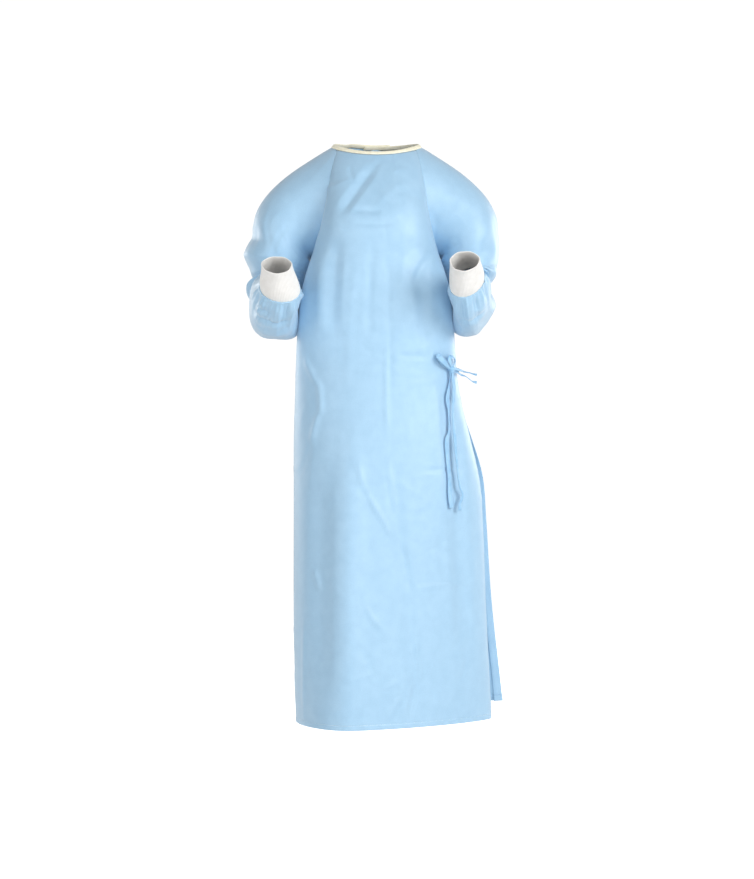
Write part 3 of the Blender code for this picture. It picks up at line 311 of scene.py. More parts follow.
# The crumples of a bent sleeve: place along the arm rows (0 to 1), direction round the arm (0 out, 90 front
# or top, 180 inside, 270 back or underneath), their half lengths in both, height, and how crisp they are
Crumple = namedtuple("Crumple", "side place around half_place half_around height crisp")
CRUMPLES = (
    # the right elbow: a pointed fold, a deep notch and a smaller fold under it
    Crumple("right", 0.020, 25.0, 0.035, 55.0, -0.0050, 0.5),
    Crumple("right", 0.070, 5.0, 0.075, 105.0, 0.0155, 0.75),
    Crumple("right", 0.185, 0.0, 0.050, 85.0, -0.0140, 0.75),
    Crumple("right", 0.240, 355.0, 0.034, 75.0, 0.0110, 0.85),
    Crumple("right", 0.288, 355.0, 0.045, 60.0, -0.0055, 0.8),
    Crumple("right", 0.420, 350.0, 0.100, 80.0, -0.0030, 0.4),
    Crumple("right", 0.240, 90.0, 0.060, 50.0, -0.0060, 0.6),
    Crumple("right", 0.600, 80.0, 0.080, 70.0, 0.0060, 0.3),
    Crumple("right", 0.800, 280.0, 0.045, 70.0, -0.0060, 0.8),
    Crumple("right", 0.680, 270.0, 0.070, 60.0, 0.0045, 0.3),
    Crumple("right", 0.880, 310.0, 0.050, 30.0, -0.0045, 0.8),
    Crumple("right", 0.450, 225.0, 0.280, 45.0, 0.0130, 0.0),
    # the left elbow: a rounder fold over a bunch of small sharp ones
    Crumple("left", 0.130, 5.0, 0.090, 85.0, -0.0060, 0.5),
    Crumple("left", 0.196, 5.0, 0.046, 85.0, -0.0150, 0.75),
    Crumple("left", 0.150, 45.0, 0.030, 32.0, -0.0070, 0.9),
    Crumple("left", 0.238, 55.0, 0.030, 45.0, 0.0065, 0.9),
    Crumple("left", 0.278, 20.0, 0.030, 60.0, -0.0050, 0.9),
    Crumple("left", 0.060, 60.0, 0.060, 32.0, -0.0065, 0.7),
    Crumple("left", 0.285, 14.0, 0.150, 80.0, -0.0180, 0.15),
    Crumple("left", 0.500, 40.0, 0.300, 48.0, -0.0140, 0.0),
    Crumple("left", 0.260, 90.0, 0.060, 50.0, -0.0060, 0.6),
    Crumple("left", 0.580, 100.0, 0.080, 60.0, 0.0050, 0.3),
    Crumple("left", 0.780, 280.0, 0.050, 70.0, -0.0055, 0.7),
    Crumple("left", 0.450, 225.0, 0.280, 48.0, 0.0160, 0.0),
    Crumple("left", 0.560, 315.0, 0.280, 45.0, -0.0090, 0.0),
    # both upper arms, pressed against the body
    Crumple("right", -0.020, 180.0, 0.140, 65.0, 0.0130, 0.0),
    Crumple("left", -0.020, 180.0, 0.140, 65.0, 0.0130, 0.0),
)
GATHERS = 8  # the large waves where a sleeve is gathered into its cuff
GATHER_DEPTH = 0.0034
GATHER_START, GATHER_PEAK = 0.66, 0.91  # places along the arm rows; they end flat at the cuff's seam

# The small pleats between them, drawn at random: how far they stray, in shares of their spacing, and the
# ranges of their half widths in degrees, starts along the arm rows, heights and crispness
Pleat = namedtuple("Pleat", "around half_around start height crisp")
PLEAT_COUNT = 30
PLEAT_STRAY = 0.3
PLEAT_HALF_WIDTHS, PLEAT_STARTS = (4.5, 8.0), (0.55, 0.86)
PLEAT_HEIGHTS, PLEAT_CRISPS = (0.0018, 0.0062), (0.3, 0.95)
PLEAT_SWELL = 0.7  # below 1 they rise early
PLEAT_PRESS, PLEAT_PRESS_START = 0.6, 0.93  # the cuff's seam presses out this share, from this place on
WRIST_TURN = ((0.03, -0.1), (0.07, 0.1), (0.09, 0.7))  # the end's rows: shares of the way in, and back up

Side = namedtuple("Side", "name sign")
SIDES = (Side("left", 1.0), Side("right", -1.0))

# A cuff's wrist end, after its base at the arm's last section: how far its centre has moved out, its half
# sizes, lean and pitch
CUFF_LENGTH = 0.062
CUFF_START = -0.004  # the cuff's seam lies this far inside the sleeve's gathered end
CUFF_INSET = 0.0020  # and starts this much narrower
CUFF_FULLNESS, CUFF_WIDEST, CUFF_SPREAD = 0.0012, 0.35, 0.6  # it bulges at this share of its length
CUFF_WAVES = ((0.0006, 3, 40.0), (0.0004, 7, 0.0))  # its uneven rim: depth, waves round it, start
RIB_DEPTH, RIB_FLATNESS = 0.0005, 0.7
Wrist = namedtuple("Wrist", "out half_width half_depth lean pitch")
WRISTS = {
    "left": Wrist(-0.0075, 0.0315, 0.0280, 4.0, 126.0),
    "right": Wrist(0.0045, 0.0320, 0.0280, 2.0, 134.0),
}

# Belt at the left hip. A strip's stations: place seen from the front, how far its middle lies in front of the
# front panel, its width, and how far it is turned from lying flat
Strip = namedtuple("Strip", "x z out width turn")
KNOT = Strip(0.1525, -0.4625, 0.0095, 0.0, 0.0)
KNOT_HALF_SIZES = np.array((0.0065, 0.0060, 0.0075))
KNOT_INSIDE = 0.002  # how far the ties' ends reach into it
KNOT_FULLNESS, KNOT_WIND = 1.08, 0.11  # its surface swells and sinks by this share
KNOT_TOP = 88.0  # its grid ends this high on the lump, as an angle
BELT_Z = -0.4625
BELT_OUT = 0.0045  # from the gown's side to the belt that comes round from the outer back panel
BELT_ON_PANEL = 0.0044  # from that panel's face to the middle of the belt sewn on it
BELT_LAP = 0.030  # how far the belt lies on that panel, where it is sewn on
BELT_OVERHANG, BELT_SPAN = 0.008, 0.035  # how far past the panel's edge it runs straight on, and hangs clear
BELT_WIDTHS = (0.0130, 0.0055)  # on the panel and at the knot
BELT_LEAVE, BELT_CLEAR = 0.004, 0.004  # its path skips this much at the panel's edge and before the knot
BELT_KNOT_SHARE, BELT_TAPER_START = 0.85, 0.3  # shares of its length from which it heads in and grows narrow
BELT_SEED, TIE_SEED = 60, 40
TIE_CROOK, TIE_CROOK_PACE = 0.0005, 0.6  # a tie's uneven bend out of its surface; below 1 it is slower
TIE_CUPS = (0.05, 0.16)  # how hollow a tie is across, as a share of its width
FACING_SLOPES = (-0.5, 1.6)  # the steepest that the front panel is taken to be under the ties
LOOPS = ("tie_loop_large", "tie_loop_small")  # both ends in the knot
TIES = {
    "belt_front": (
        Strip(0.1445, -0.4605, 0.0045, 0.0060, 0.0),
        Strip(0.1385, -0.4555, 0.0022, 0.0090, 0.0),
        Strip(0.1320, -0.4490, 0.0014, 0.0110, 0.0),
        Strip(0.1260, -0.4430, 0.0014, 0.0110, 0.0),
    ),
    "tie_loop_large": (
        Strip(0.1455, -0.4560, 0.0075, 0.0060, 0.0),
        Strip(0.1372, -0.4490, 0.0070, 0.0120, 0.0),
        Strip(0.1288, -0.4415, 0.0060, 0.0135, 5.0),
        Strip(0.1245, -0.4385, 0.0085, 0.0130, 10.0),
        Strip(0.1288, -0.4420, 0.0115, 0.0135, 5.0),
        Strip(0.1382, -0.4515, 0.0115, 0.0115, 0.0),
        Strip(0.1440, -0.4590, 0.0105, 0.0060, 0.0),
    ),
    "tie_loop_small": (
        Strip(0.1515, -0.4520, 0.0155, 0.0060, 10.0),
        Strip(0.1480, -0.4470, 0.0155, 0.0075, 20.0),
        Strip(0.1472, -0.4415, 0.0140, 0.0080, 35.0),
        Strip(0.1508, -0.4375, 0.0120, 0.0085, 50.0),
        Strip(0.1560, -0.4395, 0.0095, 0.0085, 50.0),
        Strip(0.1592, -0.4460, 0.0080, 0.0080, 30.0),
        Strip(0.1585, -0.4515, 0.0105, 0.0060, 20.0),
    ),
    "tie_end_upper": (
        Strip(0.1610, -0.4600, 0.0150, 0.0050, 10.0),
        Strip(0.1754, -0.4650, 0.0140, 0.0050, 30.0),
        Strip(0.1900, -0.4690, 0.0140, 0.0045, 50.0),
        Strip(0.2054, -0.4730, 0.0150, 0.0050, 20.0),
    ),
    "tie_end_lower": (
        Strip(0.1600, -0.4710, 0.0095, 0.0050, 10.0),
        Strip(0.1748, -0.4735, 0.0095, 0.0050, 30.0),
        Strip(0.1868, -0.4785, 0.0105, 0.0045, 50.0),
        Strip(0.1950, -0.4855, 0.0110, 0.0045, 40.0),
        Strip(0.2054, -0.4885, 0.0120, 0.0060, 10.0),
    ),
    "tie_tail_long": (
        Strip(0.1471, -0.4725, 0.0060, 0.0060, 10.0),
        Strip(0.1480, -0.4916, 0.0045, 0.0070, 10.0),
        Strip(0.1437, -0.5225, 0.0045, 0.0120, 5.0),
        Strip(0.1470, -0.5500, 0.0045, 0.0085, 10.0),
        Strip(0.1470, -0.5870, 0.0045, 0.0075, 15.0),
        Strip(0.1423, -0.6080, 0.0045, 0.0125, 5.0),
        Strip(0.1430, -0.6400, 0.0045, 0.0095, 0.0),
        Strip(0.1470, -0.6800, 0.0045, 0.0090, 0.0),
        Strip(0.1485, -0.7150, 0.0045, 0.0110, 0.0),
        Strip(0.1520, -0.7430, 0.0045, 0.0105, 0.0),
    ),
    "tie_tail_short": (
        Strip(0.1555, -0.4740, 0.0120, 0.0080, 0.0),
        Strip(0.1570, -0.5070, 0.0110, 0.0125, 0.0),
        Strip(0.1550, -0.5400, 0.0110, 0.0085, 10.0),
        Strip(0.1550, -0.5656, 0.0110, 0.0080, 15.0),
        Strip(0.1590, -0.6060, 0.0110, 0.0110, 5.0),
        Strip(0.1609, -0.6335, 0.0110, 0.0085, 10.0),
        Strip(0.1641, -0.6646, 0.0100, 0.0070, 15.0),
        Strip(0.1680, -0.6980, 0.0090, 0.0060, 20.0),
        Strip(0.1750, -0.7170, 0.0080, 0.0055, 10.0),
        Strip(0.1690, -0.7350, 0.0080, 0.0070, 0.0),
        Strip(0.1690, -0.7480, 0.0075, 0.0090, 0.0),
    ),
}

# The cut of each piece, before it was sewn: the sides of the rectangle that it fits in, its area, and how it
# is held
Flat = namedtuple("Flat", "width length area held")

# Where the two colours of a mottled surface are full, on its noise from 0 to 1
MOTTLE_STOPS = (0.32, 0.68)

# Light, floor and camera
FLOOR_Z, FLOOR_RADIUS = -1.453, 60.0
FLOOR_GLOW = 0.75  # seen by the camera only, so that the floor is as white as the surround
WHITE = (1.0, 1.0, 1.0, 1.0)
SURROUND, SURROUND_SEEN = 0.30, 1.05
LIGHT_AIM = (0.0, 0.0, -0.6)
Light = namedtuple("Light", "name place size power")
LIGHTS = (
    Light("key", (3.2, -3.1, 1.0), 2.4, 130.0),
    Light("front", (0.3, -4.6, 0.5), 2.4, 36.0),
    Light("fill", (-2.8, -3.0, 0.4), 2.4, 38.0),
    Light("back_left", (2.8, 2.6, 0.2), 2.0, 45.0),
    Light("back_right", (-2.8, 2.6, 0.2), 2.0, 42.0),
)
CAMERA_PLACE = (0.001, -4.0, -0.605)
CAMERA_LENS, CAMERA_SENSOR = 79.0, 36.0  # millimetres; the sensor is this high


def smooth(t):
    """0 up to t = 0, 1 from t = 1, and an S curve between."""
    t = np.clip(t, 0.0, 1.0)
    return t * t * (3.0 - 2.0 * t)


def bump(t):
    """A soft hill that is 1 at t = 0 and 0 from t = 1 and -1 outwards."""
    return (1.0 - np.clip(t * t, 0.0, 1.0)) ** 2


def pressed(t, crisp):
    """A fold's profile across it: a soft hill, or a crease with a sharp crest."""
    t = np.clip(np.abs(t), 0.0, 1.0)
    return (1.0 - crisp) * (1.0 - t * t) ** 2 + crisp * (1.0 - t) ** 2


def unit(vector):
    return vector / max(np.linalg.norm(vector), 1e-12)


def units(vectors):
    return vectors / np.maximum(np.linalg.norm(vectors, axis=-1, keepdims=True), 1e-12)


def hermite(start, end, leave, arrive, t):
    return (
        (2 * t**3 - 3 * t**2 + 1) * start
        + (t**3 - 2 * t**2 + t) * leave
        + (3 * t**2 - 2 * t**3) * end
        + (t**3 - t**2) * arrive
    )


def through(table, key, column, at):
    """A table's column at a place, on a smooth curve through the rows. The key column runs downwards."""
    keys = np.array([-getattr(row, key) for row in table])
    values = np.array([getattr(row, column) for row in table])
    at = float(np.clip(-at, keys[0], keys[-1]))
    slopes = np.gradient(values, keys)
    k = int(np.clip(np.searchsorted(keys, at) - 1, 0, len(keys) - 2))
    span = keys[k + 1] - keys[k]
    t = (at - keys[k]) / span
    return float(hermite(values[k], values[k + 1], slopes[k] * span, slopes[k + 1] * span, t))


def rows_through(table, at):
    """Every column of a table at a place along its rows, from 0 to 1, on smooth curves."""
    values = np.array(table, float)
    slopes = np.gradient(values, axis=0)
    place = at * (len(table) - 1)
    k = int(min(place, len(table) - 2))
    return type(table[0])(*hermite(values[k], values[k + 1], slopes[k], slopes[k + 1], place - k))


def lengths_along(points):
    """How far along a line each of its points lies. In a grid, how far up its column."""
    steps = np.linalg.norm(np.diff(points, axis=0), axis=-1)
    return np.concatenate([np.zeros_like(steps[:1]), np.cumsum(steps, axis=0)])


def evenly(points, shares):
    """Points at the given shares of a line's length."""
    points = np.asarray(points)
    lengths = lengths_along(points)
    wanted = np.asarray(shares) * lengths[-1]
    return np.stack([np.interp(wanted, lengths, column) for column in points.T], axis=-1)


def hill(reach):
    """The weights of a soft mean over this many places to each side."""
    weights = bump(np.linspace(-1.0, 1.0, 2 * reach + 1))
    return weights / weights.sum()


def rows_softened(grid, reach):
    """Each row as a soft mean of the rows round it."""
    padded = np.concatenate([np.repeat(grid[:1], reach, axis=0), grid, np.repeat(grid[-1:], reach, axis=0)])
    return sum(w * padded[k : k + len(grid)] for k, w in enumerate(hill(reach)))


def edge_first(grid, axis, at_end):
    """A grid turned so that one of its edges is the first row."""
    grid = np.swapaxes(grid, 0, axis)
    return grid[::-1] if at_end else grid


def edge_back(grid, axis, at_end):
    """Turns a grid back again."""
    return np.swapaxes(grid[::-1] if at_end else grid, 0, axis)


def mirrored(points, sign):
    return np.asarray(points) * np.array((sign, 1.0, 1.0))


# The neck and the body's sections


def neck_point(angle):
    """A point of the neck's edge. 0 is the centre front and 90 the left shoulder."""
    a = math.radians(angle)
    return np.array(
        (
            NECK_HALF_WIDTH * math.sin(a),
            NECK_CENTRE_Y - NECK_HALF_DEPTH * math.cos(a),
            NECK_Z_MEAN + NECK_Z_DIP * math.cos(a) + NECK_Z_SADDLE * math.cos(2 * a),
        )
    )


def section_line(z, is_front):
    """Half a section, from the right side seam to the left one, round the front or the back."""
    row = Section(z, *(through(SECTIONS, "z", name, z) for name in Section._fields[1:]))
    turn = 90.0 + SIDE_SEAM
    angles = np.linspace(-turn, turn if is_front else turn - 360.0, SECTION_POINTS)
    angles = (angles + 180.0) % 360.0 - 180.0
    is_left, is_ahead = angles >= 0, np.abs(angles) <= 90
    side_x = np.where(is_left, row.left_x, row.right_x)
    side_y = np.where(is_left, row.left_y, row.right_y)
    middle_x = np.where(is_ahead, row.ridge_x, row.back_x)
    bow = np.where(is_ahead, np.where(is_left, row.left_bow, row.right_bow), BACK_BOW)
    end_y = np.where(is_ahead, row.front_y, row.back_y)
    across = np.abs(np.sin(np.radians(angles))) ** (2 / bow)
    along = np.abs(np.cos(np.radians(angles))) ** (2 / bow)
    x = middle_x + (side_x - middle_x) * across
    y = side_y + (end_y - side_y) * along
    x -= np.copysign(row.tuck, side_x) * bump((y - UNDERARM_Y) / UNDERARM_HALF_WIDTH)
    return np.stack([x, y, np.full_like(x, z)], axis=-1)


def neck_line(is_front):
    if is_front:
        angles = np.linspace(-NECK_FRONT_SEAM, NECK_FRONT_SEAM, NECK_POINTS)
    else:
        angles = np.linspace(-NECK_BACK_SEAM, NECK_BACK_SEAM - 360.0, NECK_POINTS)
    return np.array([neck_point(a) for a in angles])


def raglan_seam(sign, is_front):
    """A raglan seam, from the armpit to the neck, with as many steps as the upper rows."""
    armpit = section_line(ARMPIT_Z, is_front)[-1 if sign > 0 else 0]
    neck = neck_point(sign * (NECK_FRONT_SEAM if is_front else NECK_BACK_SEAM))
    controls = FRONT_SEAM_CONTROLS if is_front else BACK_SEAM_CONTROLS
    first, second = (mirrored(point, sign) for point in controls)
    t = np.linspace(0.0, 1.0, UPPER_ROWS + 1)[:, None]
    return (1 - t) ** 3 * armpit + 3 * (1 - t) ** 2 * t * first + 3 * (1 - t) * t**2 * second + t**3 * neck


# The panels' smooth surfaces, as grids of lines across them, from the hem up to the neck


def upper_rows(is_front, shares_at):
    """The lines from the armpits' height to the neck, which end on the raglan seams."""
    ends = np.array((0.0, 1.0))
    bottom_line, top_line = section_line(ARMPIT_Z, is_front), neck_line(is_front)
    below_line = section_line(ARMPIT_Z - CHEST_STEP, is_front)
    seams = (raglan_seam(-1.0, is_front), raglan_seam(1.0, is_front))

    def plain(at, t):
        bottom, top = evenly(bottom_line, at), evenly(top_line, at)
        leave = (bottom - evenly(below_line, at)) / CHEST_STEP * CHEST_FULLNESS
        arrive = (top - bottom) * NECK_ARRIVAL
        return hermite(bottom, top, leave, arrive, t)

    rows = []
    top_z = neck_point(180.0)[2]
    for k, t in enumerate(np.linspace(0.0, 1.0, UPPER_ROWS + 1)):
        shares = shares_at(ARMPIT_Z + (top_z - ARMPIT_Z) * t)
        corners = plain(ends, t)
        line = plain(shares, t)
        line = line + ((1 - shares) ** SEAM_REACH)[:, None] * (seams[0][k] - corners[0])
        line = line + (shares**SEAM_REACH)[:, None] * (seams[1][k] - corners[1])
        rows.append(line)
    return rows


def body_grid(is_front, shares_at, lift=0.0):
    """The body from hem to neck. shares_at(z) gives the columns' places on a line at that height."""
    hem_top = HEM_Z + HEM_ROWS_TOP
    hem_heights = np.linspace(HEM_Z, hem_top, HEM_ROWS + 1)[:-1]
    skirt_heights = np.linspace(hem_top, ARMPIT_Z, LOWER_ROWS - HEM_ROWS + 1)[:-1]
    rows = []
    for z in np.concatenate([hem_heights, skirt_heights]):
        shares = shares_at(z)
        line = evenly(section_line(z, is_front), shares)
        low = smooth((LIFT_TOP - z) / (LIFT_TOP - HEM_Z))
        line[:, 2] += lift * (low * smooth((shares - LIFT_START) / LIFT_WIDTH))
        rows.append(line)
    return chest_softened(np.array(rows + upper_rows(is_front, shares_at)))


def chest_softened(grid):
    """Softens the change of direction at the armpits' height, but leaves the seams where they are."""
    soft = rows_softened(grid, CHEST_REACH)
    rows = np.arange(len(grid)) - LOWER_ROWS
    columns = np.arange(grid.shape[1])
    inward = np.minimum(columns, columns[::-1]) / (CHEST_SEAM_SHARE * len(columns))
    share = bump(rows / CHEST_FADE)[:, None] * smooth(inward)[None, :]
    return grid + (soft - grid) * share[..., None]


def normals_of(grid):
    """Outward normals of a grid whose rows run upwards and whose columns run the way round that faces out."""
    return units(np.cross(np.gradient(grid, axis=1), np.gradient(grid, axis=0)))


# Folds, creases and seams


def relief(x, z, folds):
    """The height of the folds at flat places, each a ridge or trough that fades at its ends."""
    height = np.zeros_like(x)
    for fold in folds:
        run = np.array((fold.x2 - fold.x1, fold.z2 - fold.z1))
        length = np.linalg.norm(run)
        along = 2.0 * ((x - fold.x1) * run[0] + (z - fold.z1) * run[1]) / length**2 - 1.0
        aside = ((x - fold.x1) * run[1] - (z - fold.z1) * run[0]) / length - fold.bend * (1.0 - along**2)
        fade = smooth((1.0 - np.abs(along)) / FOLD_FADE)
        height += fold.depth * pressed(aside / fold.half_width, fold.crisp) * fade
    return height


def small_creases(name, count, low, high, upright=UPRIGHT):
    """Small pressed creases of thin cloth, spread evenly, most of them along the grain."""
    draw = np.random.default_rng(CREASE_SEEDS[name])
    folds = []
    for _ in range(count):
        x, z = draw.uniform(low, high)
        across = draw.random() > upright
        heading = math.radians(draw.normal(0.0 if across else 90.0, CREASE_SWING))
        length = draw.uniform(*CREASE_LENGTHS)
        depth = draw.choice((-1.0, 1.0)) * draw.uniform(*CREASE_DEPTHS)
        run_x, run_z = 0.5 * length * np.array((math.cos(heading), math.sin(heading)))
        half_width = draw.uniform(*CREASE_HALF_WIDTHS)
        bend = draw.normal(0.0, CREASE_BEND)
        ends = (x - run_x, z - run_z, x + run_x, z + run_z)
        folds.append(Fold(*ends, bend, half_width, depth, draw.random()))
    return tuple(folds)


def across_distance(grid):
    """For each point, its distance along its row from the first column and from the last."""
    first = lengths_along(np.swapaxes(grid, 0, 1)).T
    return first, first[:, -1:] - first


def pucker(length, seed):
    """An uneven ripple along a seam, from -1 to 1."""
    draw = np.random.default_rng(seed)
    wave = np.zeros_like(length)
    for pitch in PUCKER_PITCHES:
        wave += np.sin(2.0 * math.pi * length / pitch + draw.uniform(0.0, 6.28)) / len(PUCKER_PITCHES)
    return wave


def seam_dip(grid, distance, name):
    """How far cloth is drawn in beside a seam: a dip that ripples along it."""
    near = np.clip(1.0 - distance / SEAM_PULL_REACH, 0.0, 1.0) ** 2
    ripple = pucker(lengths_along(grid[:, 0]), SEAM_SEEDS[name])
    return -near * (SEAM_PULL + PUCKER * ripple[:, None])


def turned(grid, normals, axis, at_end):
    """Adds the cloth's edge turned inside: round the edge, and back along the inside. A side edge lies over
    the hem at their corner. Gives the added rows' normals too, those of the cloth before it was turned."""
    grid, normals = (edge_first(a, axis, at_end) for a in (grid, normals))
    back = int(np.searchsorted(lengths_along(grid).mean(axis=1), HEM))
    heights = grid[0, :, 2] - grid[0, :, 2].min()
    gap = TURN_GAP * (1.0 + axis * smooth((OVER_HEM_TOP - heights) / OVER_HEM_FADE))[:, None]
    layers = [grid[k] - normals[k] * gap for k in range(back, -1, -1)]
    edge = grid[0] + units(grid[0] - grid[1]) * 0.5 * TURN_GAP - normals[0] * 0.5 * gap
    beside = grid[0] + (grid[1] - grid[0]) * SHARP
    grid = np.concatenate([np.array(layers), edge[None], grid[:1], beside[None], grid[1:]])
    normals = np.concatenate([normals[back::-1], normals[:1], normals[:1], normals[:1], normals[1:]])
    return tuple(edge_back(a, axis, at_end) for a in (grid, normals))


def seam_allowance(grid, normals, axis, at_end):
    """Adds a sewn edge, turned straight inside, and its normals."""
    grid, normals = (edge_first(a, axis, at_end) for a in (grid, normals))
    layers = [grid[0] - normals[0] * ALLOWANCE * t for t in ALLOWANCE_SHARES]
    beside = grid[0] + (grid[1] - grid[0]) * SHARP
    grid = np.concatenate([np.array(layers), grid[:1], beside[None], grid[1:]])
    normals = np.concatenate([np.repeat(normals[:1], len(layers) + 1, axis=0), normals])
    return tuple(edge_back(a, axis, at_end) for a in (grid, normals))


# The body's panels


def panel_shares(start, end, columns):
    """The columns' places across a panel, close together at both sides."""
    near = np.linspace(0.0, EDGE_SHARE, EDGE_COLUMNS + 1)[:-1]
    middle = np.linspace(EDGE_SHARE, 1.0 - EDGE_SHARE, columns - 2 * EDGE_COLUMNS + 1)
    return start + (end - start) * np.concatenate([near, middle, 1.0 - near[::-1]])


def front_smooth():
    return body_grid(True, lambda z: panel_shares(0.0, 1.0, FRONT_COLUMNS))


def back_smooth(is_outer):
    """A back panel. Its columns run from the gown's left to its right, so that it faces backwards."""

    def shares(z):
        if is_outer:
            return panel_shares(0.0, through(EDGES, "z", "outer", z), BACK_COLUMNS)
        return panel_shares(through(EDGES, "z", "inner", z), 1.0, BACK_COLUMNS)

    grid = body_grid(False, shares, OUTER_CORNER_LIFT if is_outer else 0.0)[:, ::-1]
    if not is_outer:
        return grid
    rise = np.zeros(grid.shape[:2])
    for r, row in enumerate(grid):
        z = float(row[:, 2].mean())
        at = shares(z)[::-1]
        rise[r] = LAYER_GAP * smooth((at - LAYER_START) / (LAYER_FULL - LAYER_START))
        rise[r] += through(EDGES, "z", "flare", z) * smooth((at - FLARE_START) / (1.0 - FLARE_START))
    return turned_out(grid + normals_of(grid) * rise[..., None])


def turned_out(grid):
    """Bends the skirt's free edge, the first column, outwards, so that its inside faces forwards."""
    steps = grid[:, :-1] - grid[:, 1:]
    away = lengths_along(np.swapaxes(grid, 0, 1)).T[:, :-1]
    strength = smooth((TURN_OUT_TOP - grid[:, 0, 2]) / (TURN_OUT_TOP - TURN_OUT_FULL))
    angles = math.radians(TURN_OUT) * strength[:, None] * smooth(1.0 - away / TURN_OUT_WIDTH)
    cos, sin = np.cos(angles), np.sin(angles)
    x, y = steps[..., 0], steps[..., 1]
    steps = np.stack([cos * x - sin * y, sin * x + cos * y, steps[..., 2]], axis=-1)
    reached = np.cumsum(steps[:, ::-1], axis=1)[:, ::-1]
    return np.concatenate([grid[:, -1:] + reached, grid[:, -1:]], axis=1)


def hem_relief(distance):
    """The turned hem shows as a low band with a stitched groove along its top."""
    band = smooth((HEM - distance) / HEM_STEP)
    groove = bump((distance - HEM * STITCH_PLACE) / GROOVE_HALF_WIDTH)
    return HEM_RIDGE * band - GROOVE * groove


def creased(grid, folds):
    return grid + normals_of(grid) * relief(grid[..., 0], grid[..., 2], folds)[..., None]


def front_panel(grid):
    """The creased front, from its smooth grid."""
    grid = creased(grid, FRONT_FOLDS + small_creases("front", FRONT_CREASES, *CREASED_AREA))
    first, last = across_distance(grid)
    height = seam_dip(grid, first, "right_side") + seam_dip(grid, last, "left_side")
    height += hem_relief(lengths_along(grid))
    return grid + normals_of(grid) * height[..., None]


def back_panel(grid, is_outer):
    """A creased back panel, from its smooth grid."""
    name = "outer" if is_outer else "inner"
    grid = creased(grid, BACK_FOLDS + small_creases(name, BACK_CREASES, *CREASED_AREA))
    sewn, free = across_distance(grid)
    if is_outer:
        sewn, free = free, sewn
    height = seam_dip(grid, sewn, name) + hem_relief(lengths_along(grid)) + hem_relief(free)
    return grid + normals_of(grid) * height[..., None]


def finished_front(grid):
    grid, normals = turned(grid, normals_of(grid), 0, False)
    grid, normals = seam_allowance(grid, normals, 1, False)
    return seam_allowance(grid, normals, 1, True)[0]


def finished_back(grid, is_outer):
    grid, normals = turned(grid, normals_of(grid), 0, False)
    grid, normals = turned(grid, normals, 1, not is_outer)
    return seam_allowance(grid, normals, 1, is_outer)[0]


# Sleeves


def sewn_edge(grid, is_first):
    """A body panel's raglan edge, from armpit to neck, and the way that its cloth runs on past it. This comes
    in above the armpit."""
    across = edge_first(grid[LOWER_ROWS:], 1, not is_first)
    edge, beside = across[0], across[EDGE_COLUMNS]
    along = units(np.gradient(edge, axis=0))
    onward = edge - beside
    onward = units(onward - np.sum(onward * along, axis=1, keepdims=True) * along)
    return edge, onward * smooth(np.linspace(0.0, 2.0, UPPER_ROWS + 1))[:, None]


def mouth_angles():
    """The angles round the arm of a sleeve's columns: neck, front seam, armpit, back seam, and neck again."""
    stops = (0.0, NECK_SHARE, 180.0, 360.0 - NECK_SHARE, 360.0)
    counts = (NECK_COLUMNS, UPPER_ROWS, UPPER_ROWS, NECK_COLUMNS)
    runs = [np.linspace(low, high, n + 1)[:-1] for low, high, n in zip(stops, stops[1:], counts)]
    return np.concatenate(runs)


def sleeve_mouth(side, front, back):
    """The sleeve's sewn edge, column by column, and the way that the cloth leaves it."""
    front_edge, front_onward = sewn_edge(front, side.sign < 0)
    back_edge, back_onward = sewn_edge(back, side.sign > 0)
    neck_front = [neck_point(side.sign * a) for a in np.linspace(90.0, NECK_FRONT_SEAM, NECK_COLUMNS + 1)]
    neck_back = [neck_point(side.sign * a) for a in np.linspace(NECK_BACK_SEAM, 90.0, NECK_COLUMNS + 1)]
    loose = mirrored(SHOULDER_RUN, side.sign)[None, :]
    points = (neck_front[:-1], front_edge[::-1][:-1], back_edge[:-1], [back_edge[-1]], neck_back[1:-1])
    onward = (
        np.repeat(loose, NECK_COLUMNS, axis=0),
        front_onward[::-1][:-1],
        back_onward[:1],
        back_onward[1:],
        np.repeat(loose, NECK_COLUMNS - 1, axis=0),
    )
    return np.concatenate(points), np.concatenate(onward)


def arm_ring(station, side, angles):
    """A ring of the sleeve: 0 degrees is its outer side, 90 the front or top."""
    lean, pitch = math.radians(station.lean), math.radians(station.pitch)
    outward = np.array((math.cos(lean), 0.0, math.sin(lean)))
    forward = np.array((0.0, -math.cos(pitch), math.sin(pitch)))
    a = np.radians(angles)[:, None]
    across = station.half_width * np.sign(np.cos(a)) * np.abs(np.cos(a)) ** (2.0 / station.bow)
    along = station.half_depth * np.sign(np.sin(a)) * np.abs(np.sin(a)) ** (2.0 / station.bow)
    centre = np.array((station.x, station.y, station.z))
    return mirrored(centre + across * outward + along * forward, side.sign)


def sleeve_smooth(side, front, back):
    """Rows of rings: the cap from the sewn edge to the upper arm, then the bent arm down to the cuff."""
    angles = mouth_angles()
    mouth, onward = sleeve_mouth(side, front, back)
    arm = ARMS[side.name]
    first = arm_ring(arm[0], side, angles)
    reach = np.linalg.norm(first - mouth, axis=1, keepdims=True)
    heading = units((first - mouth) / reach + mirrored(SLEEVE_LIFT, side.sign) + onward * SEAM_FLOW)
    leave = heading * reach * CAP_FULLNESS
    arrive = np.array((0.0, 0.0, -1.0)) * reach * CAP_DROP
    rows = [hermite(mouth, first, leave, arrive, t) for t in np.linspace(0.0, 1.0, CAP_ROWS + 1)[:-1]]
    for place in np.linspace(0.0, 1.0, ARM_ROWS + 1):
        rows.append(arm_ring(rows_through(arm, place), side, angles))
    return corners_softened(rings_softened(np.array(rows)), angles)


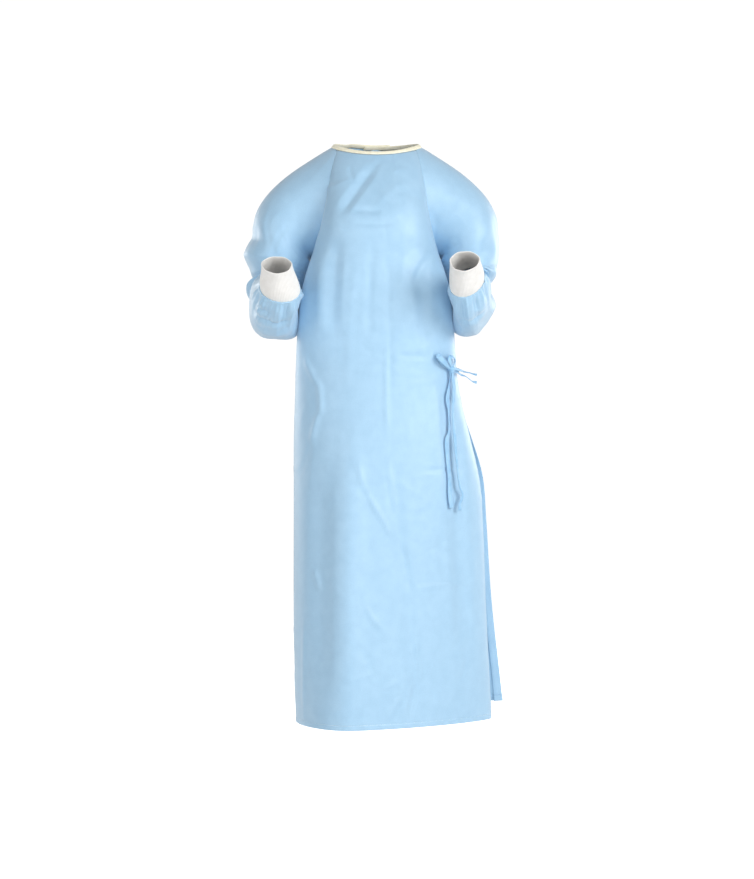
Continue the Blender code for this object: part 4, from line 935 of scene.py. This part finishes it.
def corners_softened(grid, angles):
    """Softens the cap round the arm: the corners of its neck edge would leave ridges down the shoulder."""
    soft = sum(w * np.roll(grid, k - CORNER_REACH, axis=1) for k, w in enumerate(hill(CORNER_REACH)))
    rows = np.arange(len(grid))
    share = smooth(rows / CORNER_IN) * smooth((CAP_ROWS + CORNER_OUT - rows) / CORNER_OUT)
    top = smooth((np.abs(angles - 180.0) - CORNER_TOP) / CORNER_FADE)
    return grid + (soft - grid) * share[:, None, None] * top[None, :, None]


def rings_softened(grid):
    """Softens the rings along the sleeve, but leaves its two ends."""
    rows = np.arange(len(grid)) / RING_FADE
    share = smooth(rows) * smooth(rows[::-1])
    return grid + (rows_softened(grid, RING_REACH) - grid) * share[:, None, None]


def tube_normals(grid):
    """Outward normals of a tube whose last column joins its first."""
    wrapped = np.concatenate([grid[:, -1:], grid, grid[:, :1]], axis=1)
    return normals_of(wrapped)[:, 1:-1]


def arm_places(row_count):
    """Each row's place along the arm, from 0 at its first section to 1 at the wrist. The cap's is below 0."""
    return (np.arange(row_count) - CAP_ROWS) / ARM_ROWS


def crumple_height(side, places, angles):
    height = np.zeros((len(places), len(angles)))
    for fold in CRUMPLES:
        if fold.side == side.name:
            away = (angles - fold.around + 180.0) % 360.0 - 180.0
            across = pressed((places - fold.place) / fold.half_place, fold.crisp)
            height += fold.height * across[:, None] * bump(away / fold.half_around)[None, :]
    gather = smooth((places - GATHER_START) / (GATHER_PEAK - GATHER_START))
    gather = gather * smooth((1.0 - places) / (1.0 - GATHER_PEAK))
    return height + GATHER_DEPTH * gather[:, None] * np.cos(np.radians(GATHERS * angles))[None, :]


def pleats(side):
    """The many small pleats of a sleeve gathered into its cuff, uneven in width, length and height."""
    draw = np.random.default_rng(CREASE_SEEDS[side.name])
    made = []
    for k in range(PLEAT_COUNT):
        around = (k + draw.uniform(-PLEAT_STRAY, PLEAT_STRAY)) * 360.0 / PLEAT_COUNT
        ranges = (PLEAT_HALF_WIDTHS, PLEAT_STARTS, PLEAT_HEIGHTS, PLEAT_CRISPS)
        made.append(Pleat(around, *(draw.uniform(*span) for span in ranges)))
    return made


def pleat_height(side, places, angles):
    height = np.zeros((len(places), len(angles)))
    for pleat in pleats(side):
        away = (angles - pleat.around + 180.0) % 360.0 - 180.0
        along = smooth((places - pleat.start) / (1.0 - pleat.start)) ** PLEAT_SWELL
        along *= 1.0 - PLEAT_PRESS * smooth((places - PLEAT_PRESS_START) / (1.0 - PLEAT_PRESS_START))
        height += pleat.height * along[:, None] * pressed(away / pleat.half_around, pleat.crisp)[None, :]
    return height


def sleeve_panel(side, smooth_grid, mouth):
    """The creased sleeve. Its sewn edge is drawn on to the body panels' own edges, the mouth."""
    angles = mouth_angles()
    places = arm_places(len(smooth_grid))
    height = crumple_height(side, places, angles) + pleat_height(side, places, angles)
    round_arm = 360.0 * SLEEVE_AROUND
    flat_x = np.broadcast_to(angles * SLEEVE_AROUND, height.shape)
    flat_z = np.broadcast_to((places * SLEEVE_ALONG)[:, None], height.shape)
    low, high = (0.0, SLEEVE_CREASES_TOP), (round_arm, SLEEVE_ALONG)
    creases = small_creases(side.name, SLEEVE_CREASES, low, high, SLEEVE_UPRIGHT)
    for turns in (-1, 0, 1):
        height = height + relief(flat_x + turns * round_arm, flat_z, creases)
    grid = smooth_grid + tube_normals(smooth_grid) * (side.sign * height)[..., None]
    near = np.clip(1.0 - lengths_along(grid) / SEAM_PULL_REACH, 0.0, 1.0) ** 2
    grid = grid + near[..., None] * (mouth - grid[0])[None]
    under = np.abs(angles - 180.0) * SLEEVE_AROUND / UNDER_SEAM_REACH
    dip = UNDER_SEAM_PULL * np.clip(1.0 - under, 0.0, 1.0)[None, :] ** 2
    dip = dip * smooth(places / UNDER_SEAM_START + 1.0)[:, None]
    return grid - tube_normals(grid) * (side.sign * dip)[..., None]


def finished_sleeve(grid, side):
    """The sleeve with its sewn edges turned inside at the armhole and at the cuff."""
    normals = tube_normals(grid) * side.sign
    neck_end = [grid[0] - normals[0] * ALLOWANCE * t for t in ALLOWANCE_SHARES]
    neck_end += [grid[0], grid[0] + (grid[1] - grid[0]) * SHARP]
    inward, up = grid[-1].mean(axis=0) - grid[-1], grid[-4] - grid[-1]
    wrist_end = [grid[-1] + inward * share + up * back for share, back in WRIST_TURN]
    return np.concatenate([np.array(neck_end), grid[1:], np.array(wrist_end)])


# Cuffs


def cuff_station(side, t):
    """The cuff's section at a share of its length."""
    base, wrist = ARMS[side.name][-1], WRISTS[side.name]
    ahead = math.radians(0.5 * (base.pitch + wrist.pitch))
    travel = CUFF_START + (CUFF_LENGTH - CUFF_START) * t
    taper = smooth(t)
    return Station(
        base.x + wrist.out * t,
        base.y - travel * math.sin(ahead),
        base.z - travel * math.cos(ahead),
        base.half_width - CUFF_INSET + (wrist.half_width - base.half_width) * taper,
        base.half_depth - CUFF_INSET + (wrist.half_depth - base.half_depth) * taper,
        base.lean + (wrist.lean - base.lean) * t,
        base.pitch + (wrist.pitch - base.pitch) * t,
        base.bow,
    )


def cuff_rows():
    """The cuff's rows, up, over the fold and down inside: each one's share of its length, and how far in."""
    rows = [(t, 0.0) for t in np.linspace(0.0, 1.0, CUFF_ROWS + 1)]
    for turn in np.radians(np.linspace(0.0, 180.0, CUFF_FOLD_ROWS + 1)[1:-1]):
        rows.append((1.0 + 0.5 * KNIT * math.sin(turn) / CUFF_LENGTH, 0.5 * KNIT * (1.0 - math.cos(turn))))
    return rows + [(t, KNIT) for t in np.linspace(1.0, 0.0, CUFF_ROWS // 2 + 1)]


def cuff_panel(side):
    """A doubled ribbed knit, folded over at the wrist."""
    angles = np.linspace(0.0, 360.0, CUFF_RIBS * RIB_POINTS + 1)[:-1]
    wobble = sum(depth * np.sin(np.radians(count * angles + start)) for depth, count, start in CUFF_WAVES)
    ribs = RIB_DEPTH * (np.abs(np.cos(np.radians(angles * CUFF_RIBS / 2))) ** RIB_FLATNESS - 0.5)
    grid = []
    for t, inset in cuff_rows():
        ring = arm_ring(cuff_station(side, t), side, angles)
        outward = units(ring - ring.mean(axis=0))
        fullness = CUFF_FULLNESS * bump((t - CUFF_WIDEST) / CUFF_SPREAD) + wobble * smooth(t)
        grid.append(ring + outward * (fullness + ribs - inset)[:, None])
    return np.array(grid)


# The neck binding


def neck_edge(front, outer, inner, sleeves):
    """The neck's edge from the outer back panel's free edge round by the right, front and left."""
    half = NECK_COLUMNS
    right, left = sleeves["right"][0], sleeves["left"][0]
    pieces = (
        outer[-1],
        right[1 - half :],
        right[:1],
        right[1:half],
        front[-1],
        left[1:half][::-1],
        left[:1],
        left[1 - half :][::-1],
        inner[-1],
    )
    return np.concatenate([np.asarray(piece).reshape(-1, 3) for piece in pieces])


def tape_slope(edge):
    """The way up the folded tape, and the way that it faces."""
    inward = np.array((0.0, NECK_CENTRE_Y, 0.0)) - edge
    inward[:, 2] = 0.0
    inward = units(inward)
    upward = np.array((0.0, 0.0, 1.0))
    return units(inward * BINDING_IN + upward * BINDING_UP), units(upward * BINDING_IN - inward * BINDING_UP)


def binding_panel(edge):
    """The tape, from inside the neck over the edge, with a slight ripple."""
    edge = evenly(edge, np.linspace(0.0, 1.0, TAPE_COLUMNS))
    slope, outward = tape_slope(edge)
    ripple = pucker(lengths_along(edge), SEAM_SEEDS["neck"])
    rows = []
    for point in TAPE:
        out = point.out + ripple * TAPE_RIPPLES[0 if point.out > 0 else 1]
        rows.append(edge + slope * point.up + outward * out[:, None])
    return np.array(rows)


def tape_seam(edge):
    """The line of the tape's stitches, with the way that it faces."""
    edge = evenly(edge, np.linspace(0.0, 1.0, TAPE_COLUMNS))
    slope, outward = tape_slope(edge)
    seam = TAPE[TAPE_STITCH]
    return edge + slope * seam.up + outward * seam.out, outward


# Stitches


def line_inside(grid, normals, distance):
    """The line at a distance up each column from the first row, with the way that it faces."""
    lengths = lengths_along(grid)

    def read(values):
        columns = range(grid.shape[1])
        return np.array([
            [np.interp(distance, lengths[:, c], values[:, c, k]) for k in range(3)] for c in columns
        ])

    return read(grid), units(read(normals))


def hem_seams(grid, free_edge):
    """The stitch lines of a panel's hem, and of its free edge: its first or its last column, or none."""
    both = grid, normals_of(grid)
    seams = [line_inside(*both, HEM * STITCH_PLACE)]
    if free_edge:
        seams.append(line_inside(*(edge_first(a, 1, free_edge == "last") for a in both), HEM * STITCH_PLACE))
    return seams


def stitch_faces(first):
    """The faces of one stitch, whose corners are numbered from here on."""
    ring = len(STITCH_RING)
    faces = []
    for low in (first, first + ring):
        for k in range(ring):
            beside = (k + 1) % ring
            faces.append((low + k, low + beside, low + ring + beside, low + ring + k))
    last = first + 2 * ring
    return faces + [tuple(first + k for k in reversed(range(ring))), tuple(last + k for k in range(ring))]


def stitched(name, seams, finish):
    """A row of machine stitches along each line: short bars of thread, half sunk in the cloth."""
    corners, faces = [], []
    for points, normals in seams:
        count = int(lengths_along(points)[-1] / STITCH_PITCH)
        shares = (np.arange(count) + 0.5) / count
        both = evenly(np.concatenate([points, normals], axis=1), shares)
        places, outward = both[:, :3], units(both[:, 3:])
        aim = STITCH_AIM / count
        ahead = units(evenly(points, shares + aim) - evenly(points, shares - aim))
        aside = np.cross(ahead, outward)
        for place, out, on, off in zip(places, outward, ahead, aside):
            faces += stitch_faces(len(corners))
            for along, wide in STITCH_SECTIONS:
                reach = 0.5 * STITCH_WIDTH * wide
                for beside, up in STITCH_RING:
                    corner = place + on * STITCH_LENGTH * along
                    corners.append(corner + off * reach * beside + out * reach * up)
    return piece_of(name, np.array(corners).tolist(), faces, finish)


# The belt and its bow


def line_at(grid, z):
    """A panel's line at a height, read from its grid."""
    heights = grid[..., 2].mean(axis=1)
    return np.array([[np.interp(z, heights, grid[:, c, k]) for k in range(3)] for c in range(grid.shape[1])])


def on_front(front, x, z, out):
    """The point that shows at x and z from the front, this far off the front panel, and the way it faces."""
    line = line_at(front, z)
    line = line[: int(np.argmax(line[:, 0])) + 1]
    slopes = np.gradient(line[:, 1]) / np.gradient(line[:, 0])
    slope = float(np.clip(np.interp(x, line[:, 0], slopes), *FACING_SLOPES))
    normal = unit(np.array((slope, -1.0, 0.0)))
    beside = min(x - out * normal[0], line[-1, 0])
    y = float(np.interp(beside, line[:, 0], line[:, 1]))
    return np.array((x, y + out * normal[1], z)), normal


def knot_centre(front):
    return on_front(front, KNOT.x, KNOT.z, KNOT.out)[0]


def at_knot(centre, towards):
    """The point a little inside the knot's face, on the way to another point."""
    heading = unit(towards - centre)
    radius = 1.0 / np.linalg.norm(heading / KNOT_HALF_SIZES)
    return centre + heading * (radius - KNOT_INSIDE)


def banded(middles, normals, widths, turns, seed):
    """Rows across a flat tie, slightly cupped, with uneven edges."""
    cup = np.random.default_rng(seed).uniform(*TIE_CUPS)
    crook = TIE_CROOK * pucker(lengths_along(middles) * TIE_CROOK_PACE, seed)
    headings = units(np.gradient(middles, axis=0))
    flat = units(np.cross(headings, normals))
    off = units(normals - np.sum(normals * headings, axis=1, keepdims=True) * headings)
    turns = np.radians(turns)[:, None]
    across = flat * np.cos(turns) + off * np.sin(turns)
    up = off * np.cos(turns) - flat * np.sin(turns)
    shares = np.linspace(-0.5, 0.5, TIE_POINTS)
    widths = np.array(widths)[:, None]
    rise = widths * cup * (1.0 - 4.0 * shares * shares) + crook[:, None]
    return middles[:, None] + across[:, None] * (widths * shares)[..., None] + up[:, None] * rise[..., None]


def strip_panel(front, stations, is_loop, seed):
    """A tie that starts at the knot and hangs on the front panel. A loop ends at the knot too."""
    steps = STRIP_STEPS * (len(stations) - 1)
    places = [rows_through(stations, k / steps) for k in range(steps + 1)]
    middles, normals = zip(*(on_front(front, p.x, p.z, p.out) for p in places))
    middles, centre = np.array(middles), knot_centre(front)
    fade = np.clip(1.0 - np.arange(steps + 1) / STRIP_STEPS, 0.0, 1.0)[:, None]
    middles = middles + (at_knot(centre, middles[1]) - middles[0]) * fade
    if is_loop:
        middles = middles + (at_knot(centre, middles[-2]) - middles[-1]) * fade[::-1]
    return banded(middles, np.array(normals), [p.width for p in places], [p.turn for p in places], seed)


def facing_out(path):
    """The way out from a level path that runs forwards round the left side."""
    ahead = units(np.gradient(path, axis=0))
    return units(np.stack([-ahead[:, 1], ahead[:, 0], 0.0 * ahead[:, 0]], axis=-1))


def belt_panel(front, outer, inner):
    """The belt from the outer back panel, on which it is sewn, round the left side to the knot."""
    lap, side, chest = (line_at(grid, BELT_Z) for grid in (outer, inner, front))
    reach = np.linalg.norm(lap - lap[0], axis=1)
    on_panel = lap[(reach > BELT_LEAVE) & (reach < BELT_LAP)][::-1]
    past_edge = lap[:1] + unit(lap[0] - lap[3]) * BELT_OVERHANG
    on_side = side[side[:, 1] < lap[0, 1] - BELT_SPAN][::-1]
    on_chest = chest[chest[:, 0] > KNOT.x + BELT_CLEAR][::-1]
    path = np.concatenate([on_panel, past_edge, on_side, on_chest])
    path = evenly(path, np.linspace(0.0, 1.0, BELT_PATH_POINTS))
    lapped = np.linalg.norm(path - path[0], axis=1) < BELT_LAP + BELT_OVERHANG
    path = path + facing_out(path) * np.where(lapped, BELT_ON_PANEL, BELT_OUT)[:, None]
    shares = np.linspace(0.0, 1.0, BELT_STEPS + 1)
    middles = evenly(path, shares)
    fade = smooth((shares - BELT_KNOT_SHARE) / (1.0 - BELT_KNOT_SHARE))[:, None]
    middles = middles + (at_knot(knot_centre(front), middles[-2]) - middles[-1]) * fade
    taper = smooth((shares - BELT_TAPER_START) / (1.0 - BELT_TAPER_START))
    widths = BELT_WIDTHS[0] + (BELT_WIDTHS[1] - BELT_WIDTHS[0]) * taper
    return banded(middles, facing_out(middles), widths, np.zeros(BELT_STEPS + 1), BELT_SEED)


def knot_panel(front):
    """The knot: a tight lump of cloth, with the tie wound round it."""
    up = np.radians(np.linspace(-KNOT_TOP, KNOT_TOP, KNOT_ROWS))[:, None]
    around = np.radians(np.linspace(0.0, 360.0, KNOT_COLUMNS + 1)[:-1])[None, :]
    wind = np.cos(5.0 * up + 1.1 * np.sin(around)) + 0.5 * np.cos(3.0 * around + 4.0 * up)
    ball = (np.cos(up) * np.cos(around), np.cos(up) * np.sin(around), np.sin(up) + 0.0 * around)
    swell = KNOT_FULLNESS * (1.0 + KNOT_WIND * wind)
    return knot_centre(front) + KNOT_HALF_SIZES * swell[..., None] * np.stack(ball, axis=-1)


# Materials


def linear(hex_colour):
    """An sRGB hex colour as linear values."""
    parts = [int(hex_colour[k : k + 2], 16) / 255.0 for k in (1, 3, 5)]
    return tuple(p / 12.92 if p <= 0.04045 else ((p + 0.055) / 1.055) ** 2.4 for p in parts) + (1.0,)


def add(tree, kind, settings=None, **links):
    """Adds a node with its settings, and links inputs, given as their name=output or as i0=output."""
    node = tree.nodes.new(kind)
    for name, value in (settings or {}).items():
        if name in node.inputs:
            node.inputs[name].default_value = value
        else:
            setattr(node, name, value)
    for name, output in links.items():
        tree.links.new(output, node.inputs[int(name[1:])] if name[1:].isdigit() else node.inputs[name])
    return node


def new_material(name, roughness, ior, sheen, sheen_roughness=0.5):
    made = bpy.data.materials.new(name)
    made.use_nodes = True
    tree = made.node_tree
    shader = tree.nodes["Principled BSDF"]
    shader.inputs["Roughness"].default_value = roughness
    shader.inputs["IOR"].default_value = ior
    shader.inputs["Sheen Weight"].default_value = sheen
    shader.inputs["Sheen Roughness"].default_value = sheen_roughness
    return made, tree, shader


def dressed(tree, shader, colour, height, strength, depth, **under):
    """Gives a shader its colour, and a relief from a height, over the relief under it."""
    tree.links.new(colour, shader.inputs["Base Color"])
    raised = add(tree, "ShaderNodeBump", {"Strength": strength, "Distance": depth}, Height=height, **under)
    tree.links.new(raised.outputs["Normal"], shader.inputs["Normal"])


def mottled(tree, vector, pale, deep, size):
    """A soft change between two colours over patches of a size in metres."""
    noise = add(tree, "ShaderNodeTexNoise", {"Scale": 1.0 / size, "Detail": 3.0}, Vector=vector)
    ramp = add(tree, "ShaderNodeValToRGB", Fac=noise.outputs["Fac"])
    for element, position, colour in zip(ramp.color_ramp.elements, MOTTLE_STOPS, (deep, pale)):
        element.position = position
        element.color = linear(colour)
    return ramp.outputs["Color"]


def spunbond_nonwoven():
    """Spunbond polypropylene nonwoven, bonded by hot pins: matt, slightly waxy, clouded by uneven fibre, and
    dimpled by the bond points. The dimples are 2.4 mm apart, where the real ones are about 1 mm, so that they
    show."""
    made, tree, shader = new_material("spunbond_nonwoven_blue", 0.50, 1.49, 0.30, 0.6)
    shader.inputs["Coat Weight"].default_value = 0.8
    shader.inputs["Coat Roughness"].default_value = 0.52
    shader.inputs["Coat IOR"].default_value = 1.49
    flat = add(tree, "ShaderNodeUVMap", {"uv_map": "cloth"}).outputs["UV"]
    solid = add(tree, "ShaderNodeTexCoord").outputs["Object"]
    cloud = mottled(tree, solid, "#A3CBE7", "#9DC6E3", 20.0 * MM)
    fibre = add(tree, "ShaderNodeTexNoise", {"Scale": 1.0 / (2.2 * MM), "Detail": 4.0}, Vector=flat)
    span = {"From Min": 0.3, "From Max": 0.7, "To Min": 0.965, "To Max": 1.025}
    streak = add(tree, "ShaderNodeMapRange", span, Value=fibre.outputs["Fac"]).outputs["Result"]
    tinted = add(tree, "ShaderNodeVectorMath", {"operation": "SCALE"}, i0=cloud, Scale=streak)
    pins = add(tree, "ShaderNodeTexVoronoi", {"Scale": 1.0 / (2.4 * MM), "Randomness": 0.15}, Vector=flat)
    span = {"From Min": 0.0, "From Max": 0.45, "To Min": 0.0, "To Max": 1.0}
    dimple = add(tree, "ShaderNodeMapRange", span, Value=pins.outputs["Distance"]).outputs["Result"]
    dimpled = add(tree, "ShaderNodeBump", {"Strength": 0.22, "Distance": 0.15 * MM}, Height=dimple)
    crinkle = add(tree, "ShaderNodeTexNoise", {"Scale": 1.0 / (16.0 * MM), "Detail": 3.0}, Vector=solid)
    under = dimpled.outputs["Normal"]
    dressed(tree, shader, tinted.outputs["Vector"], crinkle.outputs["Fac"], 0.30, 0.8 * MM, Normal=under)
    return made


def rib_knit():
    """Ribbed cotton and polyester knit: soft, white, with the small V of each stitch."""
    made, tree, shader = new_material("rib_knit_white", 0.85, 1.50, 0.35)
    flat = add(tree, "ShaderNodeUVMap", {"uv_map": "cloth"}).outputs["UV"]
    solid = add(tree, "ShaderNodeTexCoord").outputs["Object"]
    cloud = mottled(tree, solid, "#EDEBE8", "#E6E4E0", 12.0 * MM)
    course = {"bands_direction": "Y", "Scale": 1.0 / (12.0 * MM), "Distortion": 1.5, "Detail": 1.0}
    wave = add(tree, "ShaderNodeTexWave", course, Vector=flat)
    dressed(tree, shader, cloud, wave.outputs["Fac"], 0.25, 0.3 * MM)
    return made


def bias_tape():
    """Soft cream knitted bias tape, folded over the neck's edge."""
    made, tree, shader = new_material("bias_tape_cream", 0.80, 1.50, 0.30)
    solid = add(tree, "ShaderNodeTexCoord").outputs["Object"]
    cloud = mottled(tree, solid, "#FBF7E2", "#F4EED2", 10.0 * MM)
    grain = add(tree, "ShaderNodeTexNoise", {"Scale": 1.0 / (0.9 * MM), "Detail": 2.0}, Vector=solid)
    dressed(tree, shader, cloud, grain.outputs["Fac"], 0.3, 0.2 * MM)
    return made


def folded_tie():
    """The gown's nonwoven folded in four and stitched: more layers, so a little deeper blue."""
    made, tree, shader = new_material("folded_nonwoven_tie", 0.56, 1.49, 0.20)
    solid = add(tree, "ShaderNodeTexCoord").outputs["Object"]
    cloud = mottled(tree, solid, "#9FC9E7", "#8CBCE0", 14.0 * MM)
    grain = add(tree, "ShaderNodeTexNoise", {"Scale": 1.0 / (3.0 * MM), "Detail": 3.0}, Vector=solid)
    dressed(tree, shader, cloud, grain.outputs["Fac"], 0.35, 0.5 * MM)
    return made


def sewing_thread(name, hex_colour):
    """Twisted polyester sewing thread. Its slanting ply is drawn as near-white bands mixed into its colour:
    painted highlights on the ply's crests.
    """
    made, tree, shader = new_material(name, 0.60, 1.60, 0.30)
    solid = add(tree, "ShaderNodeTexCoord").outputs["Object"]
    slanting = {"bands_direction": "DIAGONAL", "Scale": 1.0 / (1.4 * MM)}
    # Painted highlight: the twisted ply's slanting bands, mixed from the thread's own colour towards
    # near-white
    ply_highlight = add(tree, "ShaderNodeTexWave", slanting, Vector=solid)
    thread_colour_and_highlight = add(tree, "ShaderNodeMix", {"data_type": "RGBA"}, Factor=ply_highlight.outputs["Fac"])
    thread_colour_and_highlight.inputs["A"].default_value = linear(hex_colour)
    # the near-white of the painted highlights on the ply
    thread_colour_and_highlight.inputs["B"].default_value = linear("#F2F6F8")
    tree.links.new(thread_colour_and_highlight.outputs["Result"], shader.inputs["Base Color"])
    return made


# Objects


def placed(name, data):
    """Puts new data into the scene as an object."""
    made = bpy.data.objects.new(name, data)
    bpy.context.scene.collection.objects.link(made)
    return made


def piece_of(name, corners, faces, finish):
    """A piece of the gown, on its one body."""
    mesh = bpy.data.meshes.new(name)
    mesh.from_pydata(corners, [], faces)
    mesh.materials.append(finish)
    mesh.shade_smooth()
    made = placed(name, mesh)
    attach(made, "root")
    return made


def cloth_piece(name, grid, thickness, finish, slot, is_tube=False, offset=-1.0, flip=False):
    """A piece of cloth from a grid of points, thickened. A tube's last column joins its first."""
    if flip:
        grid = grid[:, ::-1]
    row_count, column_count = grid.shape[:2]
    faces = []
    for r in range(row_count - 1):
        low, high = r * column_count, (r + 1) * column_count
        for c in range(column_count if is_tube else column_count - 1):
            right = (c + 1) % column_count
            faces.append((low + c, low + right, high + right, high + c))
    made = piece_of(name, grid.reshape(-1, 3).tolist(), faces, finish)
    add_cloth_map(made.data, grid, is_tube)
    shell = made.modifiers.new("Cloth", "SOLIDIFY")
    shell.thickness = thickness
    shell.offset = offset
    return made


def add_cloth_map(mesh, grid, is_tube):
    """A UV map in metres along the cloth, so that its texture has its real scale."""
    u = lengths_along(np.swapaxes(grid, 0, 1)).mean(axis=1)
    v = lengths_along(grid).mean(axis=1)
    last = float(u[-1]) * len(u) / (len(u) - 1)
    layer = mesh.uv_layers.new(name="cloth")
    corners = np.zeros(len(mesh.loops), int)
    mesh.loops.foreach_get("vertex_index", corners)
    where = np.stack([u[corners % len(u)], v[corners // len(u)]], axis=-1)
    if is_tube:
        quads = where.reshape(-1, 4, 2)
        wraps = (quads[:, :, 0].max(axis=1) - quads[:, :, 0].min(axis=1)) > 0.5 * last
        quads[wraps, :, 0] = np.where(quads[wraps, :, 0] < 0.5 * last, last, quads[wraps, :, 0])
        where = quads.reshape(-1, 2)
    layer.data.foreach_set("uv", where.astype(np.float32).ravel())


def arm_pieces(side, smooth_panels, panels, cloth, knit):
    """A sleeve and its cuff, and the smooth sleeve that the neck's edge is read from."""
    plain = sleeve_smooth(side, *smooth_panels)
    mouth = sleeve_mouth(side, *panels)[0]
    sleeve = finished_sleeve(sleeve_panel(side, plain, mouth), side)
    parts = (
        ("sleeve_", sleeve, CLOTH, cloth, "nonwoven"),
        ("cuff_", cuff_panel(side), KNIT_LAYER, knit, "knit"),
    )
    pieces = {}
    for kind, grid, *finish in parts:
        node = kind + side.name
        pieces[node] = cloth_piece("gown_" + node, grid, *finish, is_tube=True, flip=side.sign < 0)
    return pieces, plain


def belt_pieces(front, outer, inner, tie):
    """The belt, its bow and its knot, at the left hip."""
    grids = {}
    for k, (name, stations) in enumerate(TIES.items()):
        grids[name] = strip_panel(front, stations, name in LOOPS, TIE_SEED + k)
    grids["belt_outer"] = belt_panel(front, outer, inner)
    pieces = {
        name: cloth_piece("gown_" + name, grid, BELT_THICKNESS, tie, "tie", offset=0.0)
        for name, grid in grids.items()
    }
    pieces["tie_knot"] = cloth_piece("gown_tie_knot", knot_panel(front), KNOT_CLOTH, tie, "tie", is_tube=True)
    return pieces


def declared(pieces):
    """Hides the imported solid that each piece is drawn in place of."""
    for node, piece in pieces.items():
        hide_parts(node)


def gown():
    cloth, knit, cream, tie = spunbond_nonwoven(), rib_knit(), bias_tape(), folded_tie()
    smooth_front, smooth_outer, smooth_inner = front_smooth(), back_smooth(True), back_smooth(False)
    front = front_panel(smooth_front)
    outer, inner = back_panel(smooth_outer, True), back_panel(smooth_inner, False)
    pieces = {
        "front": cloth_piece("gown_front", finished_front(front), CLOTH, cloth, "nonwoven"),
        "back_right": cloth_piece("gown_back_outer", finished_back(outer, True), CLOTH, cloth, "nonwoven"),
        "back_left": cloth_piece("gown_back_inner", finished_back(inner, False), CLOTH, cloth, "nonwoven"),
    }
    backs = {"left": (smooth_inner, inner), "right": (smooth_outer, outer)}
    sleeves = {}
    for side in SIDES:
        smooth_back, back = backs[side.name]
        made, plain = arm_pieces(side, (smooth_front, smooth_back), (front, back), cloth, knit)
        pieces.update(made)
        sleeves[side.name] = plain

    thread = sewing_thread("thread_pale_blue", "#BBD6EA")
    seams = {
        "front": stitched("gown_front_stitches", hem_seams(front, None), thread),
        "back_right": stitched("gown_back_outer_stitches", hem_seams(outer, "first"), thread),
        "back_left": stitched("gown_back_inner_stitches", hem_seams(inner, "last"), thread),
    }
    thread = sewing_thread("thread_cream", "#EFE8CC")
    edge = neck_edge(smooth_front, smooth_outer, smooth_inner, sleeves)
    seams["neck_binding"] = stitched("gown_neck_stitches", [tape_seam(edge)], thread)
    tape = binding_panel(edge)
    pieces["neck_binding"] = cloth_piece("gown_neck_binding", tape, TAPE_CLOTH, cream, "binding")
    pieces.update(belt_pieces(smooth_front, smooth_outer, smooth_inner, tie))
    declared(pieces)


# The studio


def area_light(light):
    data = bpy.data.lights.new(light.name, "AREA")
    data.shape = "DISK"
    data.size = light.size
    data.energy = light.power
    made = placed(light.name, data)
    made.location = light.place
    aim = Vector(LIGHT_AIM) - Vector(light.place)
    made.rotation_euler = aim.to_track_quat("-Z", "Y").to_euler()


def surround():
    """A white surround, which the camera sees brighter than it lights."""
    world = bpy.data.worlds.new("white_surround")
    world.use_nodes = True
    tree = world.node_tree
    lit = tree.nodes["Background"]
    lit.inputs["Color"].default_value = WHITE
    lit.inputs["Strength"].default_value = SURROUND
    seen = add(tree, "ShaderNodeBackground", {"Color": WHITE, "Strength": SURROUND_SEEN})
    is_seen = add(tree, "ShaderNodeLightPath").outputs["Is Camera Ray"]
    mix = add(tree, "ShaderNodeMixShader", i0=is_seen, i1=lit.outputs[0], i2=seen.outputs[0])
    tree.links.new(mix.outputs[0], tree.nodes["World Output"].inputs["Surface"])
    bpy.context.scene.world = world
    bpy.context.scene.view_settings.view_transform = "Standard"


def floor():
    """A white painted floor."""
    place = (0.0, 0.0, FLOOR_Z)
    bpy.ops.mesh.primitive_circle_add(vertices=96, radius=FLOOR_RADIUS, fill_type="NGON", location=place)
    made = bpy.context.object
    made.name = "floor"
    paint, tree, shader = new_material("floor_paint_white", 0.9, 1.5, 0.0)
    shader.inputs["Base Color"].default_value = linear("#FAFAFA")
    shader.inputs["Emission Color"].default_value = WHITE
    is_seen = add(tree, "ShaderNodeLightPath").outputs["Is Camera Ray"]
    glow = add(tree, "ShaderNodeMath", {"operation": "MULTIPLY"}, i0=is_seen)
    glow.inputs[1].default_value = FLOOR_GLOW
    tree.links.new(glow.outputs[0], shader.inputs["Emission Strength"])
    made.data.materials.append(paint)


def studio():
    """A large soft light in front on the right, weaker ones in front and on the left, and one behind on each
    side, which whitens the edges."""
    surround()
    floor()
    for light in LIGHTS:
        area_light(light)


def camera():
    data = bpy.data.cameras.new("camera")
    data.lens = CAMERA_LENS
    data.sensor_width = CAMERA_SENSOR
    made = placed("camera", data)
    made.location = CAMERA_PLACE
    made.rotation_euler = (math.radians(90.0), 0.0, 0.0)
    bpy.context.scene.camera = made


camera()
studio()
gown()
